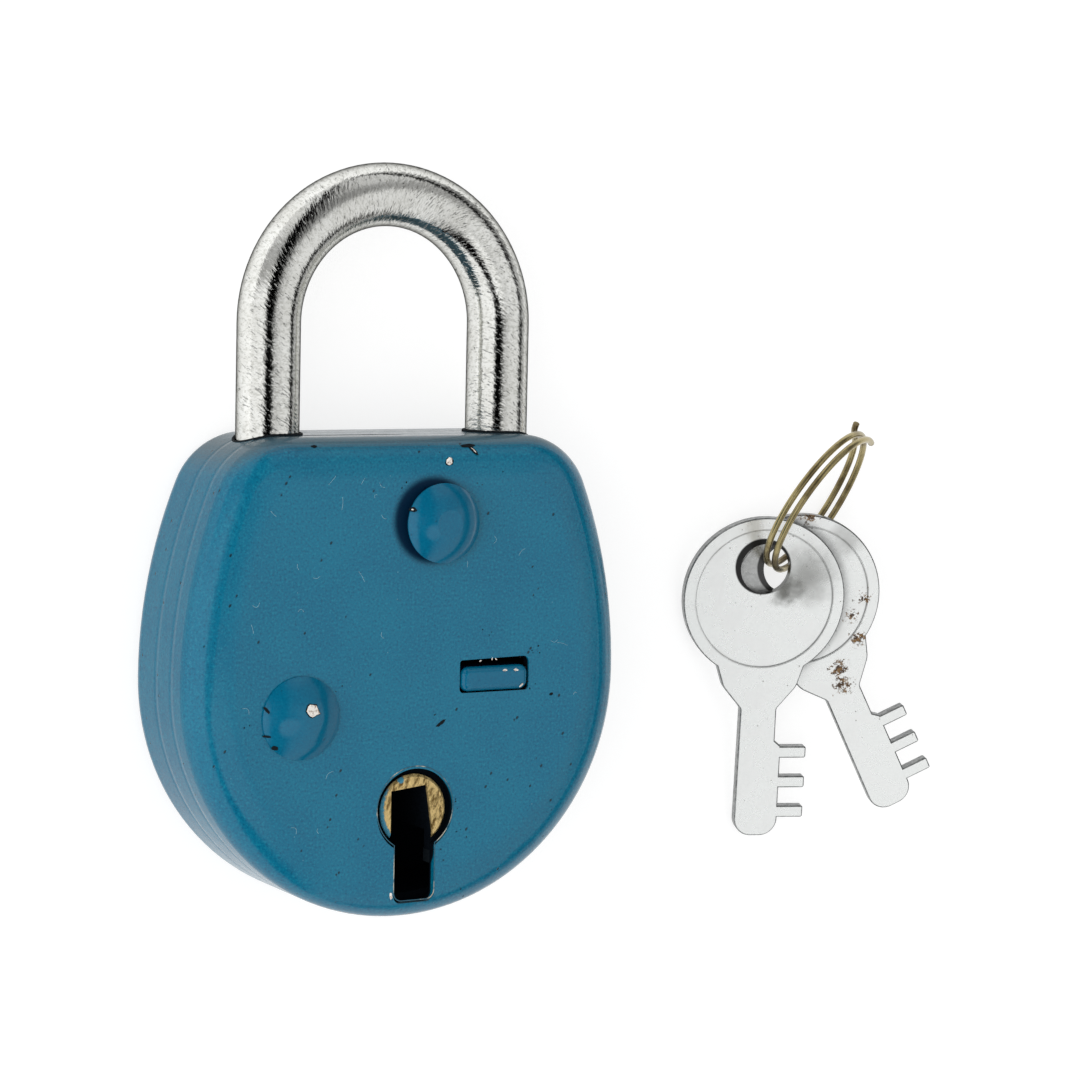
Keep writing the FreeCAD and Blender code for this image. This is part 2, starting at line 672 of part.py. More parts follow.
def flat_key():
    """Key lying in XY with the bow's centre at the origin and the blade toward -Y."""
    tip = -(key_face_at + drum_face - cavity_low - key_tip_gap)
    shoulder_y = -math.sqrt(bow_radius ** 2 - shoulder_half ** 2)
    step_y = -(key_face_at + drum_face - bolt_plane - pair_offset - bit_width)
    bow = rod(bow_radius, Vector(0, 0, 0), 0, key_thickness)
    outline = [(shoulder_half, 0, 0), (shoulder_half, shoulder_y, 0)]
    outline += [(shoulder_side_half, -shoulder_side_at, shoulder_round)]
    outline += [(key_neck_half, -key_shoulder_end, neck_corner)]
    outline += [(key_neck_half, step_y, 0), (key_belly_half, step_y - neck_corner, 0)]
    outline += [(key_belly_half, tip, key_tip_radius), (-key_back_half, tip, key_tip_radius)]
    outline += [(-key_neck_half, -key_shoulder_end, neck_corner)]
    outline += [(-shoulder_side_half, -shoulder_side_at, shoulder_round)]
    outline += [(-shoulder_half, shoulder_y, 0), (-shoulder_half, 0, 0)]
    key = bow.fuse(plate(outline, 0, key_thickness))
    for level in (bolt_plane + pair_offset, bolt_plane, bolt_plane - pair_offset):
        y = -(key_face_at + drum_face - level)
        half = bit_width / 2
        bit = plate([(0, y - half, 0), (bit_radius, y - half, bit_corner),
                     (bit_radius, y + half, bit_corner), (0, y + half, 0)], 0, key_thickness)
        key = key.fuse(bit)
    key = key.removeSplitter()
    key = key.makeChamfer(key_edge, edges_at(key, 0) + edges_at(key, key_thickness))
    for z in (0, key_thickness - bow_disc_depth):
        key = key.cut(rod(bow_disc_radius, Vector(0, 0, 0), z, z + bow_disc_depth))
    return key.cut(rod(key_hole_radius, Vector(0, key_hole_offset, 0), -1, key_thickness + 1))


def key_lean():
    """Slope of both keys: up to the right and down toward the tips."""
    return Rotation(Vector(0, 1, 0), -key_roll).multiply(Rotation(Vector(1, 0, 0), key_pitch))


def tilted_key(step, yaw):
    """Key with its hole at step from the front key's hole, turned by yaw in the tilted plane."""
    key = flat_key()
    key.translate(Vector(0, -key_hole_offset, 0))
    key.rotate(Vector(0, 0, 0), Vector(0, 0, 1), yaw)
    key.translate(step)
    key.rotate(Vector(0, 0, 0), key_lean().Axis, math.degrees(key_lean().Angle))
    return key


def keys_at():
    """Place of the front key's hole, where the lower edge of that key rests on the surface."""
    lowest = tilted_key(Vector(0, 0, key_stack), front_key_yaw).BoundBox.ZMin
    return front_hole_at + Vector(0, 0, -lowest)


def rear_key():
    key = tilted_key(rear_hole_step, rear_key_yaw)
    key.translate(keys_at())
    return key


def front_key():
    key = tilted_key(Vector(0, 0, key_stack), front_key_yaw)
    key.translate(keys_at())
    return key


def ring_coil():
    """Split ring about Z, from half turns that each sink by half the pitch, with a bent loose end."""
    up, sink = Vector(0, 0, 1), ring_pitch / 2
    level = ring_turns * sink
    pieces = []
    for half in range(2 * ring_turns):
        side = ring_radius if half % 2 == 0 else -ring_radius
        slant = -sink / 2 if side > 0 else sink / 2
        centre = Vector(0, 0, level - sink / 2)
        axis = Vector(slant, 0, ring_radius)
        pieces.append(bent_rod(ring_wire, Vector(side, 0, level), Vector(0, side, 0), centre, axis, 180))
        level -= sink
    loose = Vector(ring_radius, 0, level)
    bend_centre = loose + Vector(ring_end_radius, 0, 0)
    pieces.append(bent_rod(ring_wire, loose, Vector(0, 1, 0), bend_centre, up * -1, ring_end_turn))
    return pieces[0].fuse(pieces[1:])


def ring_centre(heading, up):
    """Centre of the ring when it stands on the surface and passes through both key holes."""
    crossing = keys_at() + key_lean().multVec(ring_crosses_at)
    lowest_turn = ring_pitch * ((270 - ring_end_at) / 360 + ring_turns / 2 - 1)
    height = ring_radius * up.z + ring_wire + lowest_turn * math.sqrt(1 - up.z ** 2)
    below = (height - crossing.z) / up.z
    along = math.sqrt(ring_radius ** 2 - below ** 2)
    return crossing + heading * along + up * below


def key_ring():
    """The ring stands on the surface along its heading, leaning a little toward the lock."""
    turn, lean = math.radians(ring_heading), math.radians(ring_lean)
    heading = Vector(math.cos(turn), math.sin(turn), 0)
    side = Vector(-heading.y, heading.x, 0)
    up = side * math.sin(lean) + Vector(0, 0, math.cos(lean))
    axis = heading.cross(up)
    centre = ring_centre(heading, up)
    coil = ring_coil()
    coil.rotate(Vector(0, 0, 0), Vector(0, 0, 1), ring_end_at)
    coil.Placement = Placement(centre, Rotation(heading, up, axis, "ZXY")).multiply(coil.Placement)
    return coil


def build():
    parts = {
        "rear_case": rear_case(),
        "case_band": case_band(),
        "front_case": front_case(),
        "shackle": shackle(),
        "heel_ring": heel_ring(),
        "heel_guide": heel_guide(),
        "lever_rivet": lever_rivet(),
        "upper_rivet": upper_rivet(),
        "lever_spacers": lever_spacers(),
        "upper_spacers": upper_spacers(),
        "guide_block": guide_block(),
        "key_drum": key_drum(),
        "drum_collar": drum_collar(),
        "rear_bush": rear_bush(),
        "bolt_plate": bolt_plate(),
        "bolt_stump": stump_bar(),
        "spring_post": spring_post(),
        "lever_springs": lever_springs(),
        "front_key": front_key(),
        "rear_key": rear_key(),
        "key_ring": key_ring(),
    }
    for number, level in enumerate(lever_levels(), start=1):
        parts[f"lever_{number}"] = lever(level)
    return parts


os.makedirs("parts", exist_ok=True)
for name, shape in build().items():
    shape.exportStep(f"parts/{name}.step")
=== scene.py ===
"""Looks of the riveted lever padlock, its two keys and their split ring.

Lengths are in metres in the frame of the CAD model: the lock lies on its back with its front face
up, the shackle toward +Y.  Marks and materials are placed in millimetres on the same axes, and MM
turns millimetres into metres.
"""

import json
import math
import random

import bpy
from mathutils import Matrix, Vector


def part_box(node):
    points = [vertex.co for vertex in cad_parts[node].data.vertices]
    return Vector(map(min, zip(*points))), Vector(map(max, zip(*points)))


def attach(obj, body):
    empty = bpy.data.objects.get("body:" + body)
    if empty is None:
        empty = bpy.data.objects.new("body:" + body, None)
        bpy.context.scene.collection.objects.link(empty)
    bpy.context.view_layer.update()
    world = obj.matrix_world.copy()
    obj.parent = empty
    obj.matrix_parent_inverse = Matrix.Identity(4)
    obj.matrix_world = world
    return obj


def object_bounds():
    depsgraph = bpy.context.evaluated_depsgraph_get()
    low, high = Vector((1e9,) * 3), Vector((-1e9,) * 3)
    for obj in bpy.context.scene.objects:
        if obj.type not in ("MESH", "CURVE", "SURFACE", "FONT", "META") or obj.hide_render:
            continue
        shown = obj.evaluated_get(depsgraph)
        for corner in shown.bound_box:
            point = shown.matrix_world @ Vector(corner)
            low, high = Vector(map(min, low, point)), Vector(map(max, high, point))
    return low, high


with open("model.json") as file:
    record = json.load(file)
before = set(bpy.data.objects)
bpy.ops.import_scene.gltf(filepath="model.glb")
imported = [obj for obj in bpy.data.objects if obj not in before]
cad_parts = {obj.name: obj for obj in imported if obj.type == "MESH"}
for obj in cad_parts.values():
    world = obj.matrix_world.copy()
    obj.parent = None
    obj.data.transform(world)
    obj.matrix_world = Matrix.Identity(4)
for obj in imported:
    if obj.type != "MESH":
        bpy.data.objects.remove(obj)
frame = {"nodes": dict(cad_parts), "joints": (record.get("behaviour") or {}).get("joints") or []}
CAD_BOX = [list(corner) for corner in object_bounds()]
NODES = frame["nodes"]
JOINTS = {joint["name"]: joint for joint in frame["joints"]}
MM = 0.001
UPWARD = (0.0, 0.0, 1.0)


def top_middle(low, high):
    """Middle of the top of a box."""
    return Vector(((low.x + high.x) / 2, (low.y + high.y) / 2, high.z))


# Places read from the frame
CASE_LOW, CASE_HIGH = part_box("front_case")
REAR_LOW, REAR_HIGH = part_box("rear_case")
DRUM_LOW, DRUM_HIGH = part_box("key_drum")
RIVET_LOW, RIVET_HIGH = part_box("lever_rivet")
UPPER_LOW, UPPER_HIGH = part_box("upper_rivet")
TENON_LOW, TENON_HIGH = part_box("guide_block")
SHACKLE_LOW, SHACKLE_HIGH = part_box("shackle")
FACE_Z = CASE_HIGH.z
CASE_TOP = CASE_HIGH.y
HALF_WIDTH = CASE_HIGH.x
REAR_SEAM_Z = REAR_HIGH.z
FRONT_SEAM_Z = CASE_LOW.z
DRUM_AT = (DRUM_LOW + DRUM_HIGH) / 2
TENON_AT = (TENON_LOW + TENON_HIGH) / 2
RIVET_AT = top_middle(RIVET_LOW, RIVET_HIGH)
UPPER_AT = top_middle(UPPER_LOW, UPPER_HIGH)

# Curved sides of the case, and the round hole and slot of the keyhole in its front face
SIDE_RADIUS = 70.0 * MM
KEYHOLE_RADIUS = 5.8 * MM
SLOT_HALF = 3.1 * MM
SLOT_END = 12.6 * MM                  # from the drum's axis to the lower end of the slot
SLOT_CORNER = 1.2 * MM
SLOT_WALL_TOP = -24.5 * MM            # below this height the edge of the face is a slot wall

# Shackle, the gap round each of its legs, and a dark bead in it: grease and painted shade
BEND_RADIUS = 17.4 * MM
ROD_RADIUS = (SHACKLE_HIGH.z - SHACKLE_LOW.z) / 2
ROD_Z = (SHACKLE_LOW.z + SHACKLE_HIGH.z) / 2
LEFT_LEG_X = SHACKLE_LOW.x + ROD_RADIUS
RIGHT_LEG_X = SHACKLE_HIGH.x - ROD_RADIUS
GAP_RADIUS = ROD_RADIUS + 0.25 * MM
RIM_RADIUS = ROD_RADIUS + 0.6 * MM
GAP_BEAD_RADIUS = 0.22 * MM
GAP_BEAD_RISE = 0.08 * MM               # middle of the bead above the rim of the hole

# Keys
KEY_THICKNESS = 1.8 * MM
BOW_CENTRE = 4.5 * MM                 # from the hole down to the centre of the bow
BOW_DISC_RADIUS = 10.4 * MM           # round recess in the bow
REAR_KEY_YAW = math.radians(26.5)     # of the rear key from the front key, as they lie

# Enamel: its gloss as the least roughness, and its relief and marks in millimetres
CASE_GLOSS = 0.14
RIVET_GLOSS = 0.10
PEEL_HEIGHT = 0.04
GRAIN_HEIGHT = 0.007
PIT_DEPTH = 0.03
SEAM_DEPTH = 0.045
SEAM_REACH = 0.8
SEAM_LINE_REACH = 0.14
OPEN_SEAM_REACH = 0.85
EDGE_FALL = 1.0                       # how far the enamel seems to sink toward the outline
WELL_RADIUS = 9.5                     # of the room round the drum behind the keyhole
LEDGE_DEPTH = 2.5                     # steps deeper than this get painted shade
POOL_HEIGHT = 0.10                    # of the enamel that ran together on the lever rivet
POOL_OFFSET = Vector((1.3, 0.2, 0.0))
SHADE_OFFSET = Vector((-1.0, 0.35, 0.0))    # of the painted shade from the upper rivet's axis

# Marks on the drum, and painted shade round a key's hole and of the other bow, in millimetres
DRUM_RIM = 4.45                       # enamel lies outside this radius
DRUM_SPOT = Vector((-2.0, 4.1))       # spot of enamel, from the drum's axis
HOLE_SHADE_CENTRE = (-0.4, 0.35)              # centre of the painted shade, from the middle of the hole
HOLE_SHADE_RADIUS = 4.1
BOW_SHADOW_RADIUS = 12.4                  # reach of the painted shadow of the other key's bow

# Flakes, nicks and hairs on the paint
CHIP_CORNERS = 14
LINT_COUNT = 24
LINT_POINTS = 4
CHIP_HEIGHT = 0.03 * MM
LINT_RADIUS = 0.028 * MM
EDGE_RADIUS = 0.07 * MM               # of the bare edge round the keyhole
EDGE_INSET = 0.03 * MM
# Loose groups of nicks on the front face: x, y and spread in millimetres, and how many
NICK_GROUPS = (
    (7.6, -21.2, 0.5, 4), (4.9, -23.5, 0.9, 4), (7.0, -17.3, 0.7, 3), (18.2, 3.2, 0.8, 6),
    (18.4, -1.0, 0.8, 4), (-10.6, -0.4, 0.5, 2), (-22.6, -4.0, 1.2, 2), (11.4, 26.0, 1.4, 3),
    (-1.8, 27.2, 0.8, 2), (8.2, -29.2, 0.5, 2), (12.0, 5.9, 0.9, 3),
)

# Marks on the keys' upper faces: x and y on the key and reach in millimetres, then strength
FRONT_DARK_PATCHES = ((6.4, -0.8, 6.5, 0.65), (3.2, -3.2, 3.2, 0.9))
REAR_DARK_PATCHES = ((1.0, -8.0, 7.0, 0.2), (9.6, 0.2, 4.0, 0.4))
# Rust spots on the rear key: x, y and reach in millimetres
REAR_RUST = ((6.0, 6.0, 1.3), (5.3, -14.6, 1.2), (1.0, -17.6, 1.7), (0.4, -20.0, 1.6),
             (8.6, -9.2, 0.6), (5.7, -11.1, 0.7))

# Colours of the enamel and of what lies on it or shows through it, as linear RGB
ENAMEL = (0.001, 0.150, 0.255)
ENAMEL_DEEP = (0.0005, 0.132, 0.236)
ENAMEL_LIGHT = (0.008, 0.215, 0.32)
ENAMEL_SHADED = (0.0, 0.075, 0.15)
ENAMEL_POOLED = (0.0003, 0.108, 0.205)
# Painted shade beside the upper rivet's head and on the tenon's sides
NAVY_SHADE = (0.0005, 0.009, 0.032)
TOP_WALL_GREY = (0.12, 0.135, 0.13)
DUST = (0.20, 0.38, 0.45)
HAIR_DARK = (0.07, 0.24, 0.34)
HAIR_PALE = (0.34, 0.52, 0.58)
PRIMER = (0.88, 0.84, 0.78)
PRIMER_DIRTY = (0.34, 0.25, 0.19)
EDGE_PAINTED = (0.02, 0.10, 0.15)
EDGE_BARE = (0.40, 0.40, 0.34)
# Near black: soot in pits and nicks, and painted shade inside the case and the keyhole
SOOT_AND_SHADE = (0.003, 0.005, 0.008)
SOOT_LIGHT = (0.012, 0.017, 0.02)

# Colours of the shackle and the drum
PLATING = (0.90, 0.905, 0.875)
PLATING_DULL = (0.79, 0.79, 0.755)
PLATING_GREY = (0.56, 0.56, 0.52)
PLATING_CUT = (0.12, 0.12, 0.12)
PLATING_PIT = (0.05, 0.05, 0.045)
PLATING_GRIME_SHADE = (0.03, 0.028, 0.025)
PLATING_TINT = (0.06, 0.06, 0.06)     # of its reflection at a grazing angle
BRASS = (0.95, 0.70, 0.30)
BRASS_DARK = (0.20, 0.12, 0.03)
BRASS_PAINTED = (0.05, 0.25, 0.37)

# Colours of the keys, the ring and the works
NICKEL = (0.97, 0.985, 0.975)
NICKEL_DULL = (0.86, 0.88, 0.87)
PINHOLE = (0.14, 0.13, 0.10)
SHEARED_AND_SHADED = (0.13, 0.135, 0.135)
DISC_LINE = (0.2, 0.2, 0.19)
KEY_DARK_PATCH = (0.12, 0.12, 0.108)
HOLE_SHADE = (0.02, 0.02, 0.02)
BOW_SHADOW = (0.10, 0.10, 0.10)
RUST = (0.05, 0.024, 0.009)
RUST_LIGHT = (0.20, 0.105, 0.03)
WIRE = (0.41, 0.34, 0.165)
WIRE_DARK = (0.15, 0.11, 0.05)
WIRE_WORN = (0.10, 0.08, 0.04)
# Near black: mill scale, and painted shade on the parts inside the case
OLD_STEEL_AND_SHADE = (0.018, 0.017, 0.017)
SPRING_BLUE = (0.05, 0.06, 0.075)

# Floor and light; the panel hangs to the left of the face's axis, and ROOM_LEVELS is what
# mirror-like metal sees of the room at these angles in degrees round the Y axis
PAPER = (0.41, 0.41, 0.41)
PAPER_SHADED = (0.39, 0.39, 0.39)
PAPER_GLOW = 0.72                     # makes the floor read as white to the camera
WHITE = (1.0, 1.0, 1.0)
FLOOR_HALF = 3.0
ROOM_STRENGTH = 0.68
PANEL_LEFT = math.radians(66)
PANEL_DISTANCE = 0.8
PANEL_WIDTH = 0.62
PANEL_LENGTH = 1.4
PANEL_POWER = 6.0                     # in watts
ROOM_LEVELS = (
    (-180, 0.45), (-140, 0.5), (-118, 0.95), (-42, 1.0), (-35, 0.0), (-11, 0.0), (7, 0.62),
    (23, 0.8), (57, 0.8), (61, 0.02), (72, 0.02), (77, 0.5), (180, 0.45),
)
TABLE_LAMP = (-0.10, -0.34, 0.93)     # direction in which metal sees the patch of a lamp

# Camera, measured from the axis that stands out of the lock's face
CAMERA_LEFT = math.radians(29.6)
CAMERA_UP = math.radians(5.4)
CAMERA_ROLL = math.radians(1.25)
CAMERA_DISTANCE = 455 * MM
CAMERA_ASIDE = 26.95 * MM
CAMERA_LIFT = 17.28 * MM
SENSOR = 36.0                         # Blender takes these two in millimetres
LENS = 108.4


# ---------------------------------------------------------------- material tools

class Graph:
    """Short way to write a node material: every call adds nodes and returns the last output."""

    def __init__(self, name):
        self.material = bpy.data.materials.new(name)
        self.material.use_nodes = True
        self.tree = self.material.node_tree
        self.shader = self.tree.nodes["Principled BSDF"]

    def add(self, kind, inputs=(), output=0, **settings):
        """One node with its settings, its inputs as values or links, and the output wanted."""
        node = self.tree.nodes.new("ShaderNode" + kind)
        for key, value in settings.items():
            setattr(node, key, value)
        for key, value in dict(inputs).items():
            self.feed(node.inputs[key], value)
        return node.outputs[output] if node.outputs else None

    def feed(self, socket, value):
        if isinstance(value, bpy.types.NodeSocket):
            self.tree.links.new(value, socket)
        elif socket.type == "RGBA" and len(value) == 3:
            socket.default_value = (*value, 1.0)
        else:
            socket.default_value = value

    def set(self, **inputs):
        """Values or links for the Principled shader, by socket name with _ for a space."""
        for key, value in inputs.items():
            self.feed(self.shader.inputs[key.replace("_", " ")], value)

    def place(self):
        """Rest position on the object, in millimetres."""
        where = self.add("TexCoord", output="Object")
        return self.add("VectorMath", {0: where, "Scale": 1 / MM}, operation="SCALE")

    def math(self, operation, first, second=0.0):
        return self.add("Math", {0: first, 1: second}, operation=operation)

    def plus(self, first, second):
        return self.math("ADD", first, second)

    def minus(self, first, second):
        return self.math("SUBTRACT", first, second)

    def times(self, first, second):
        return self.math("MULTIPLY", first, second)

    def larger(self, first, second):
        return self.math("MAXIMUM", first, second)

    def above(self, value, level):
        """1 where the value is above the level, 0 elsewhere."""
        return self.math("GREATER_THAN", value, level)

    def below(self, value, level):
        """1 where the value is below the level, 0 elsewhere."""
        return self.math("LESS_THAN", value, level)

    def unsigned(self, value):
        return self.math("ABSOLUTE", value)

    def swing(self, noise, reach):
        """A noise of 0 to 1 made to swing evenly about 0, reach from end to end."""
        return self.times(self.minus(noise, 0.5), reach)

    def length(self, first, second):
        """Length of the hypotenuse over two sides."""
        squares = self.plus(self.math("POWER", first, 2.0), self.math("POWER", second, 2.0))
        return self.math("SQRT", squares)

    def noise(self, place, scale, detail=2.0, roughness=0.5):
        """Cloudy value of about 0 to 1; scale is how many clouds there are to a millimetre."""
        inputs = {"Vector": place, "Scale": scale, "Detail": detail, "Roughness": roughness}
        return self.add("TexNoise", inputs)

    def stretched(self, place, scale, rotation=(0, 0, 0)):
        """Place with its axes turned, then scaled one by one."""
        turned = self.add("Mapping", {"Vector": place, "Rotation": rotation})
        return self.add("Mapping", {"Vector": turned, "Scale": scale})

    def ramp(self, value, low, high, start=0.0, end=1.0):
        """Smooth change from start to end as the value goes from low to high."""
        inputs = {"Value": value, "From Min": low, "From Max": high, "To Min": start, "To Max": end}
        return self.add("MapRange", inputs, interpolation_type="SMOOTHSTEP")

    def mix(self, factor, first, second):
        return self.add("Mix", {0: factor, 6: first, 7: second}, output=2, data_type="RGBA")

    def distance(self, place, point):
        return self.add("VectorMath", {0: place, 1: point}, output="Value", operation="DISTANCE")

    def parts(self, place):
        """The x, y and z outputs of a place."""
        node = self.add("SeparateXYZ", {0: place}).node
        return node.outputs[0], node.outputs[1], node.outputs[2]

    def across(self, place, centre):
        """Distance from a line that stands out of the face at centre, in millimetres."""
        flat = self.add("VectorMath", {0: place, 1: (1.0, 1.0, 0.0)}, operation="MULTIPLY")
        return self.distance(flat, (centre[0], centre[1], 0.0))

    def facing(self, direction):
        """Cosine between the surface's normal and a direction of length 1.

        A direction of another length still gives the right sign.
        """
        inputs = {0: self.add("NewGeometry", output="True Normal"), 1: direction}
        return self.add("VectorMath", inputs, output="Value", operation="DOT_PRODUCT")

    def bump(self, height, strength, distance):
        return self.add("Bump", {"Height": height, "Strength": strength, "Distance": distance})


class WorldGraph(Graph):
    """The same short way to write the world's nodes."""

    def __init__(self, name):
        self.world = bpy.data.worlds.new(name)
        self.world.use_nodes = True
        self.tree = self.world.node_tree
        self.tree.nodes.clear()

    def light(self, colour, strength=1.0):
        return self.add("Background", {"Color": colour, "Strength": strength})

    def blend(self, factor, first, second):
        return self.add("MixShader", {0: factor, 1: first, 2: second})


def dress(material, *names):
    """Give a material to nodes of the CAD model."""
    for name in names:
        node = NODES[name]
        node.data.materials.clear()
        node.data.materials.append(material)


def specks(g, place, scale, size, share):
    """Small round marks: 1 inside a mark, 0 elsewhere.

    There are scale cells to a millimetre; share is how many of them hold a mark, and size is its
    radius as a part of a cell.
    """
    cell = g.add("TexVoronoi", {"Vector": place, "Scale": scale, "Randomness": 1.0}).node
    inside = g.ramp(cell.outputs["Distance"], size, size * 0.55)
    chance = g.parts(cell.outputs["Color"])[0]
    return g.times(inside, g.below(chance, share))


# ---------------------------------------------------------------- enamel

def seam_groove(g, height, level, reach):
    """1 along a joint at this level round the case, falling off to 0 within reach of it."""
    return g.ramp(g.unsigned(g.minus(height, level / MM)), reach, 0.0)


def enamel_coat(g, place, gloss):
    """Colour, surface height and roughness of the enamel wherever it is whole."""
    waves = g.noise(place, 0.11, 3.0)
    colour = g.mix(g.ramp(waves, 0.3, 0.7), ENAMEL_DEEP, ENAMEL)
    grain = g.noise(place, 3.0, 4.0, 0.65)
    colour = g.mix(g.ramp(grain, 0.50, 0.70, 0.0, 0.8), colour, ENAMEL_LIGHT)
    colour = g.mix(g.ramp(grain, 0.48, 0.30, 0.0, 0.8), colour, ENAMEL_SHADED)
    pitted = g.ramp(g.noise(place, 0.16, 2.0), 0.45, 0.62, 0.10, 0.42)
    pits = specks(g, g.stretched(place, (1.0, 0.62, 1.0), (0.0, 0.0, 0.6)), 0.8, 0.16, pitted)
    dust = specks(g, place, 0.75, 0.07, 0.12)
    colour = g.mix(g.times(pits, 0.85), colour, SOOT_AND_SHADE)
    colour = g.mix(g.times(dust, 0.5), colour, DUST)
    peel = g.noise(place, 0.55, 3.0, 0.5)
    height = g.plus(g.times(peel, PEEL_HEIGHT), g.times(grain, GRAIN_HEIGHT))
    height = g.minus(height, g.times(pits, PIT_DEPTH))
    rough = g.ramp(g.noise(place, 0.6, 4.0, 0.6), 0.3, 0.7, gloss, gloss + 0.06)
    return colour, height, rough


def from_edge(g, place):
    """Distance inward from the outline of the case, in millimetres."""
    x, y, _ = g.parts(place)
    aside = g.plus(g.unsigned(x), (SIDE_RADIUS - HALF_WIDTH) / MM)
    upper = g.minus(SIDE_RADIUS / MM, g.length(aside, y))
    lower = g.minus(HALF_WIDTH / MM, g.across(place, (0.0, 0.0)))
    sides = g.add("Mix", {0: g.above(y, 0.0), 2: lower, 3: upper})
    top = g.minus(CASE_TOP / MM, y)
    blend = 6.0
    return g.add("Math", {0: sides, 1: top, 2: blend}, operation="SMOOTH_MIN")


def inside_case(g, place):
    """1 where shade is painted: inner faces of the sheets, the keyhole, the open part of a seam."""
    x, y, z = g.parts(place)
    face = FACE_Z / MM
    # Inner faces look toward the middle of the case, and the walls of the slot count as inner
    middle = (0.0, 0.0, (REAR_LOW.z + CASE_HIGH.z) / 2 / MM)
    outward = g.add("VectorMath", {0: place, 1: middle}, operation="SUBTRACT")
    slot_wall = g.ramp(y, SLOT_WALL_TOP / MM + 1.0, SLOT_WALL_TOP / MM - 1.0, 0.0, 0.7)
    deep = g.ramp(g.plus(z, slot_wall), face - 0.08, face - 0.5)
    inside = g.times(g.below(g.facing(outward), 0.0), deep)
    # The room round the drum
    well = g.below(g.across(place, DRUM_AT / MM), WELL_RADIUS)
    well = g.times(well, g.above(z, FRONT_SEAM_Z / MM))
    inside = g.larger(inside, g.times(well, deep))
    # The left part of the front seam where it crosses the top wall
    left_part = g.times(seam_groove(g, z, FRONT_SEAM_Z, OPEN_SEAM_REACH), g.ramp(x, 6.0, -4.0))
    top_wall = g.ramp(y, CASE_TOP / MM - 0.8, CASE_TOP / MM - 0.3)
    inside = g.larger(inside, g.ramp(g.times(left_part, top_wall), 0.3, 0.6))
    # Steps that face up deep inside
    ledge = g.times(g.above(g.facing(UPWARD), 0.7), g.below(z, face - LEDGE_DEPTH))
    return g.larger(inside, ledge)


def case_enamel():
    """Pressed case's enamel, greyer on its top wall; painted shade inside and in the open seam."""
    g = Graph("case_enamel")
    place = g.place()
    z = g.parts(place)[2]
    colour, height, rough = enamel_coat(g, place, CASE_GLOSS)
    for level in (REAR_SEAM_Z, FRONT_SEAM_Z):
        height = g.minus(height, g.times(seam_groove(g, z, level, SEAM_REACH), SEAM_DEPTH))
        line = seam_groove(g, z, level, SEAM_LINE_REACH)
        colour = g.mix(g.times(line, 0.45), colour, ENAMEL_DEEP)
    height = g.plus(height, g.ramp(from_edge(g, place), 0.8, 6.8, -EDGE_FALL, 0.0))
    inside = inside_case(g, place)
    # Painted shadow beside the upper rivet's head
    from_rivet = g.across(place, UPPER_AT / MM + SHADE_OFFSET)
    shade = g.times(g.ramp(from_rivet, 6.5, 5.2, 0.0, 0.95), g.above(z, FACE_Z / MM - 0.5))
    # Greyer on the top wall, which faces the shackle
    shoulder = g.ramp(g.facing((0.0, 1.0, 0.0)), 0.45, 0.9)
    colour = g.mix(g.times(shoulder, 0.6), colour, TOP_WALL_GREY)
    colour = g.mix(shade, colour, NAVY_SHADE)
    # Painted shade, near black, inside the case, in the keyhole and in the open seam
    colour = g.mix(inside, colour, SOOT_AND_SHADE)
    dull = g.larger(inside, g.times(shade, 0.8))
    g.set(Base_Color=colour, Roughness=g.larger(rough, g.times(dull, 0.7)))
    g.set(Normal=g.bump(height, 1.0, MM), IOR=1.5)
    front = g.ramp(g.facing(UPWARD), 0.05, 0.55, 0.15, 0.42)
    front = g.times(front, g.ramp(shoulder, 0.0, 1.0, 1.0, 0.6))
    g.set(Specular_IOR_Level=g.times(front, g.ramp(dull, 0.0, 1.0, 1.0, 0.1)))
    return g.material


def rivet_enamel():
    """The same enamel, thicker and glossier, pooled a little to the right on the lever rivet."""
    g = Graph("rivet_enamel")
    place = g.place()
    z = g.parts(place)[2]
    face = FACE_Z / MM
    colour, height, rough = enamel_coat(g, place, RIVET_GLOSS)
    colour = g.mix(0.6, colour, ENAMEL_POOLED)
    from_pool = g.across(place, RIVET_AT / MM + POOL_OFFSET)
    height = g.plus(g.times(height, 0.4), g.ramp(from_pool, 3.6, 1.2, 0.0, POOL_HEIGHT))
    # Painted shade round the foot of the upper rivet's head and on the tenon's sides
    rim = g.ramp(g.across(place, UPPER_AT / MM), 6.5, 5.6)
    low = g.ramp(z, face + 1.25, face + 1.05)
    dark = g.larger(g.times(rim, low), g.below(z, face - 0.4))
    dark = g.times(dark, g.above(z, FRONT_SEAM_Z / MM))
    colour = g.mix(dark, colour, NAVY_SHADE)
    g.set(Base_Color=colour, Roughness=g.larger(rough, g.times(dark, 0.6)))
    g.set(Normal=g.bump(height, 1.0, MM), IOR=1.5)
    g.set(Specular_IOR_Level=g.ramp(dark, 0.0, 1.0, 0.4, 0.08))
    return g.material


def chipped_primer():
    """Pale primer, dirty in places, where the enamel has come off."""
    g = Graph("chipped_primer")
    place = g.place()
    clean = g.ramp(g.noise(place, 1.7, 4.0, 0.7), 0.38, 0.52)
    g.set(Base_Color=g.mix(clean, PRIMER_DIRTY, PRIMER), Roughness=0.6)
    g.set(Normal=g.bump(g.noise(place, 5.0, 3.0), 0.6, 0.08 * MM))
    return g.material


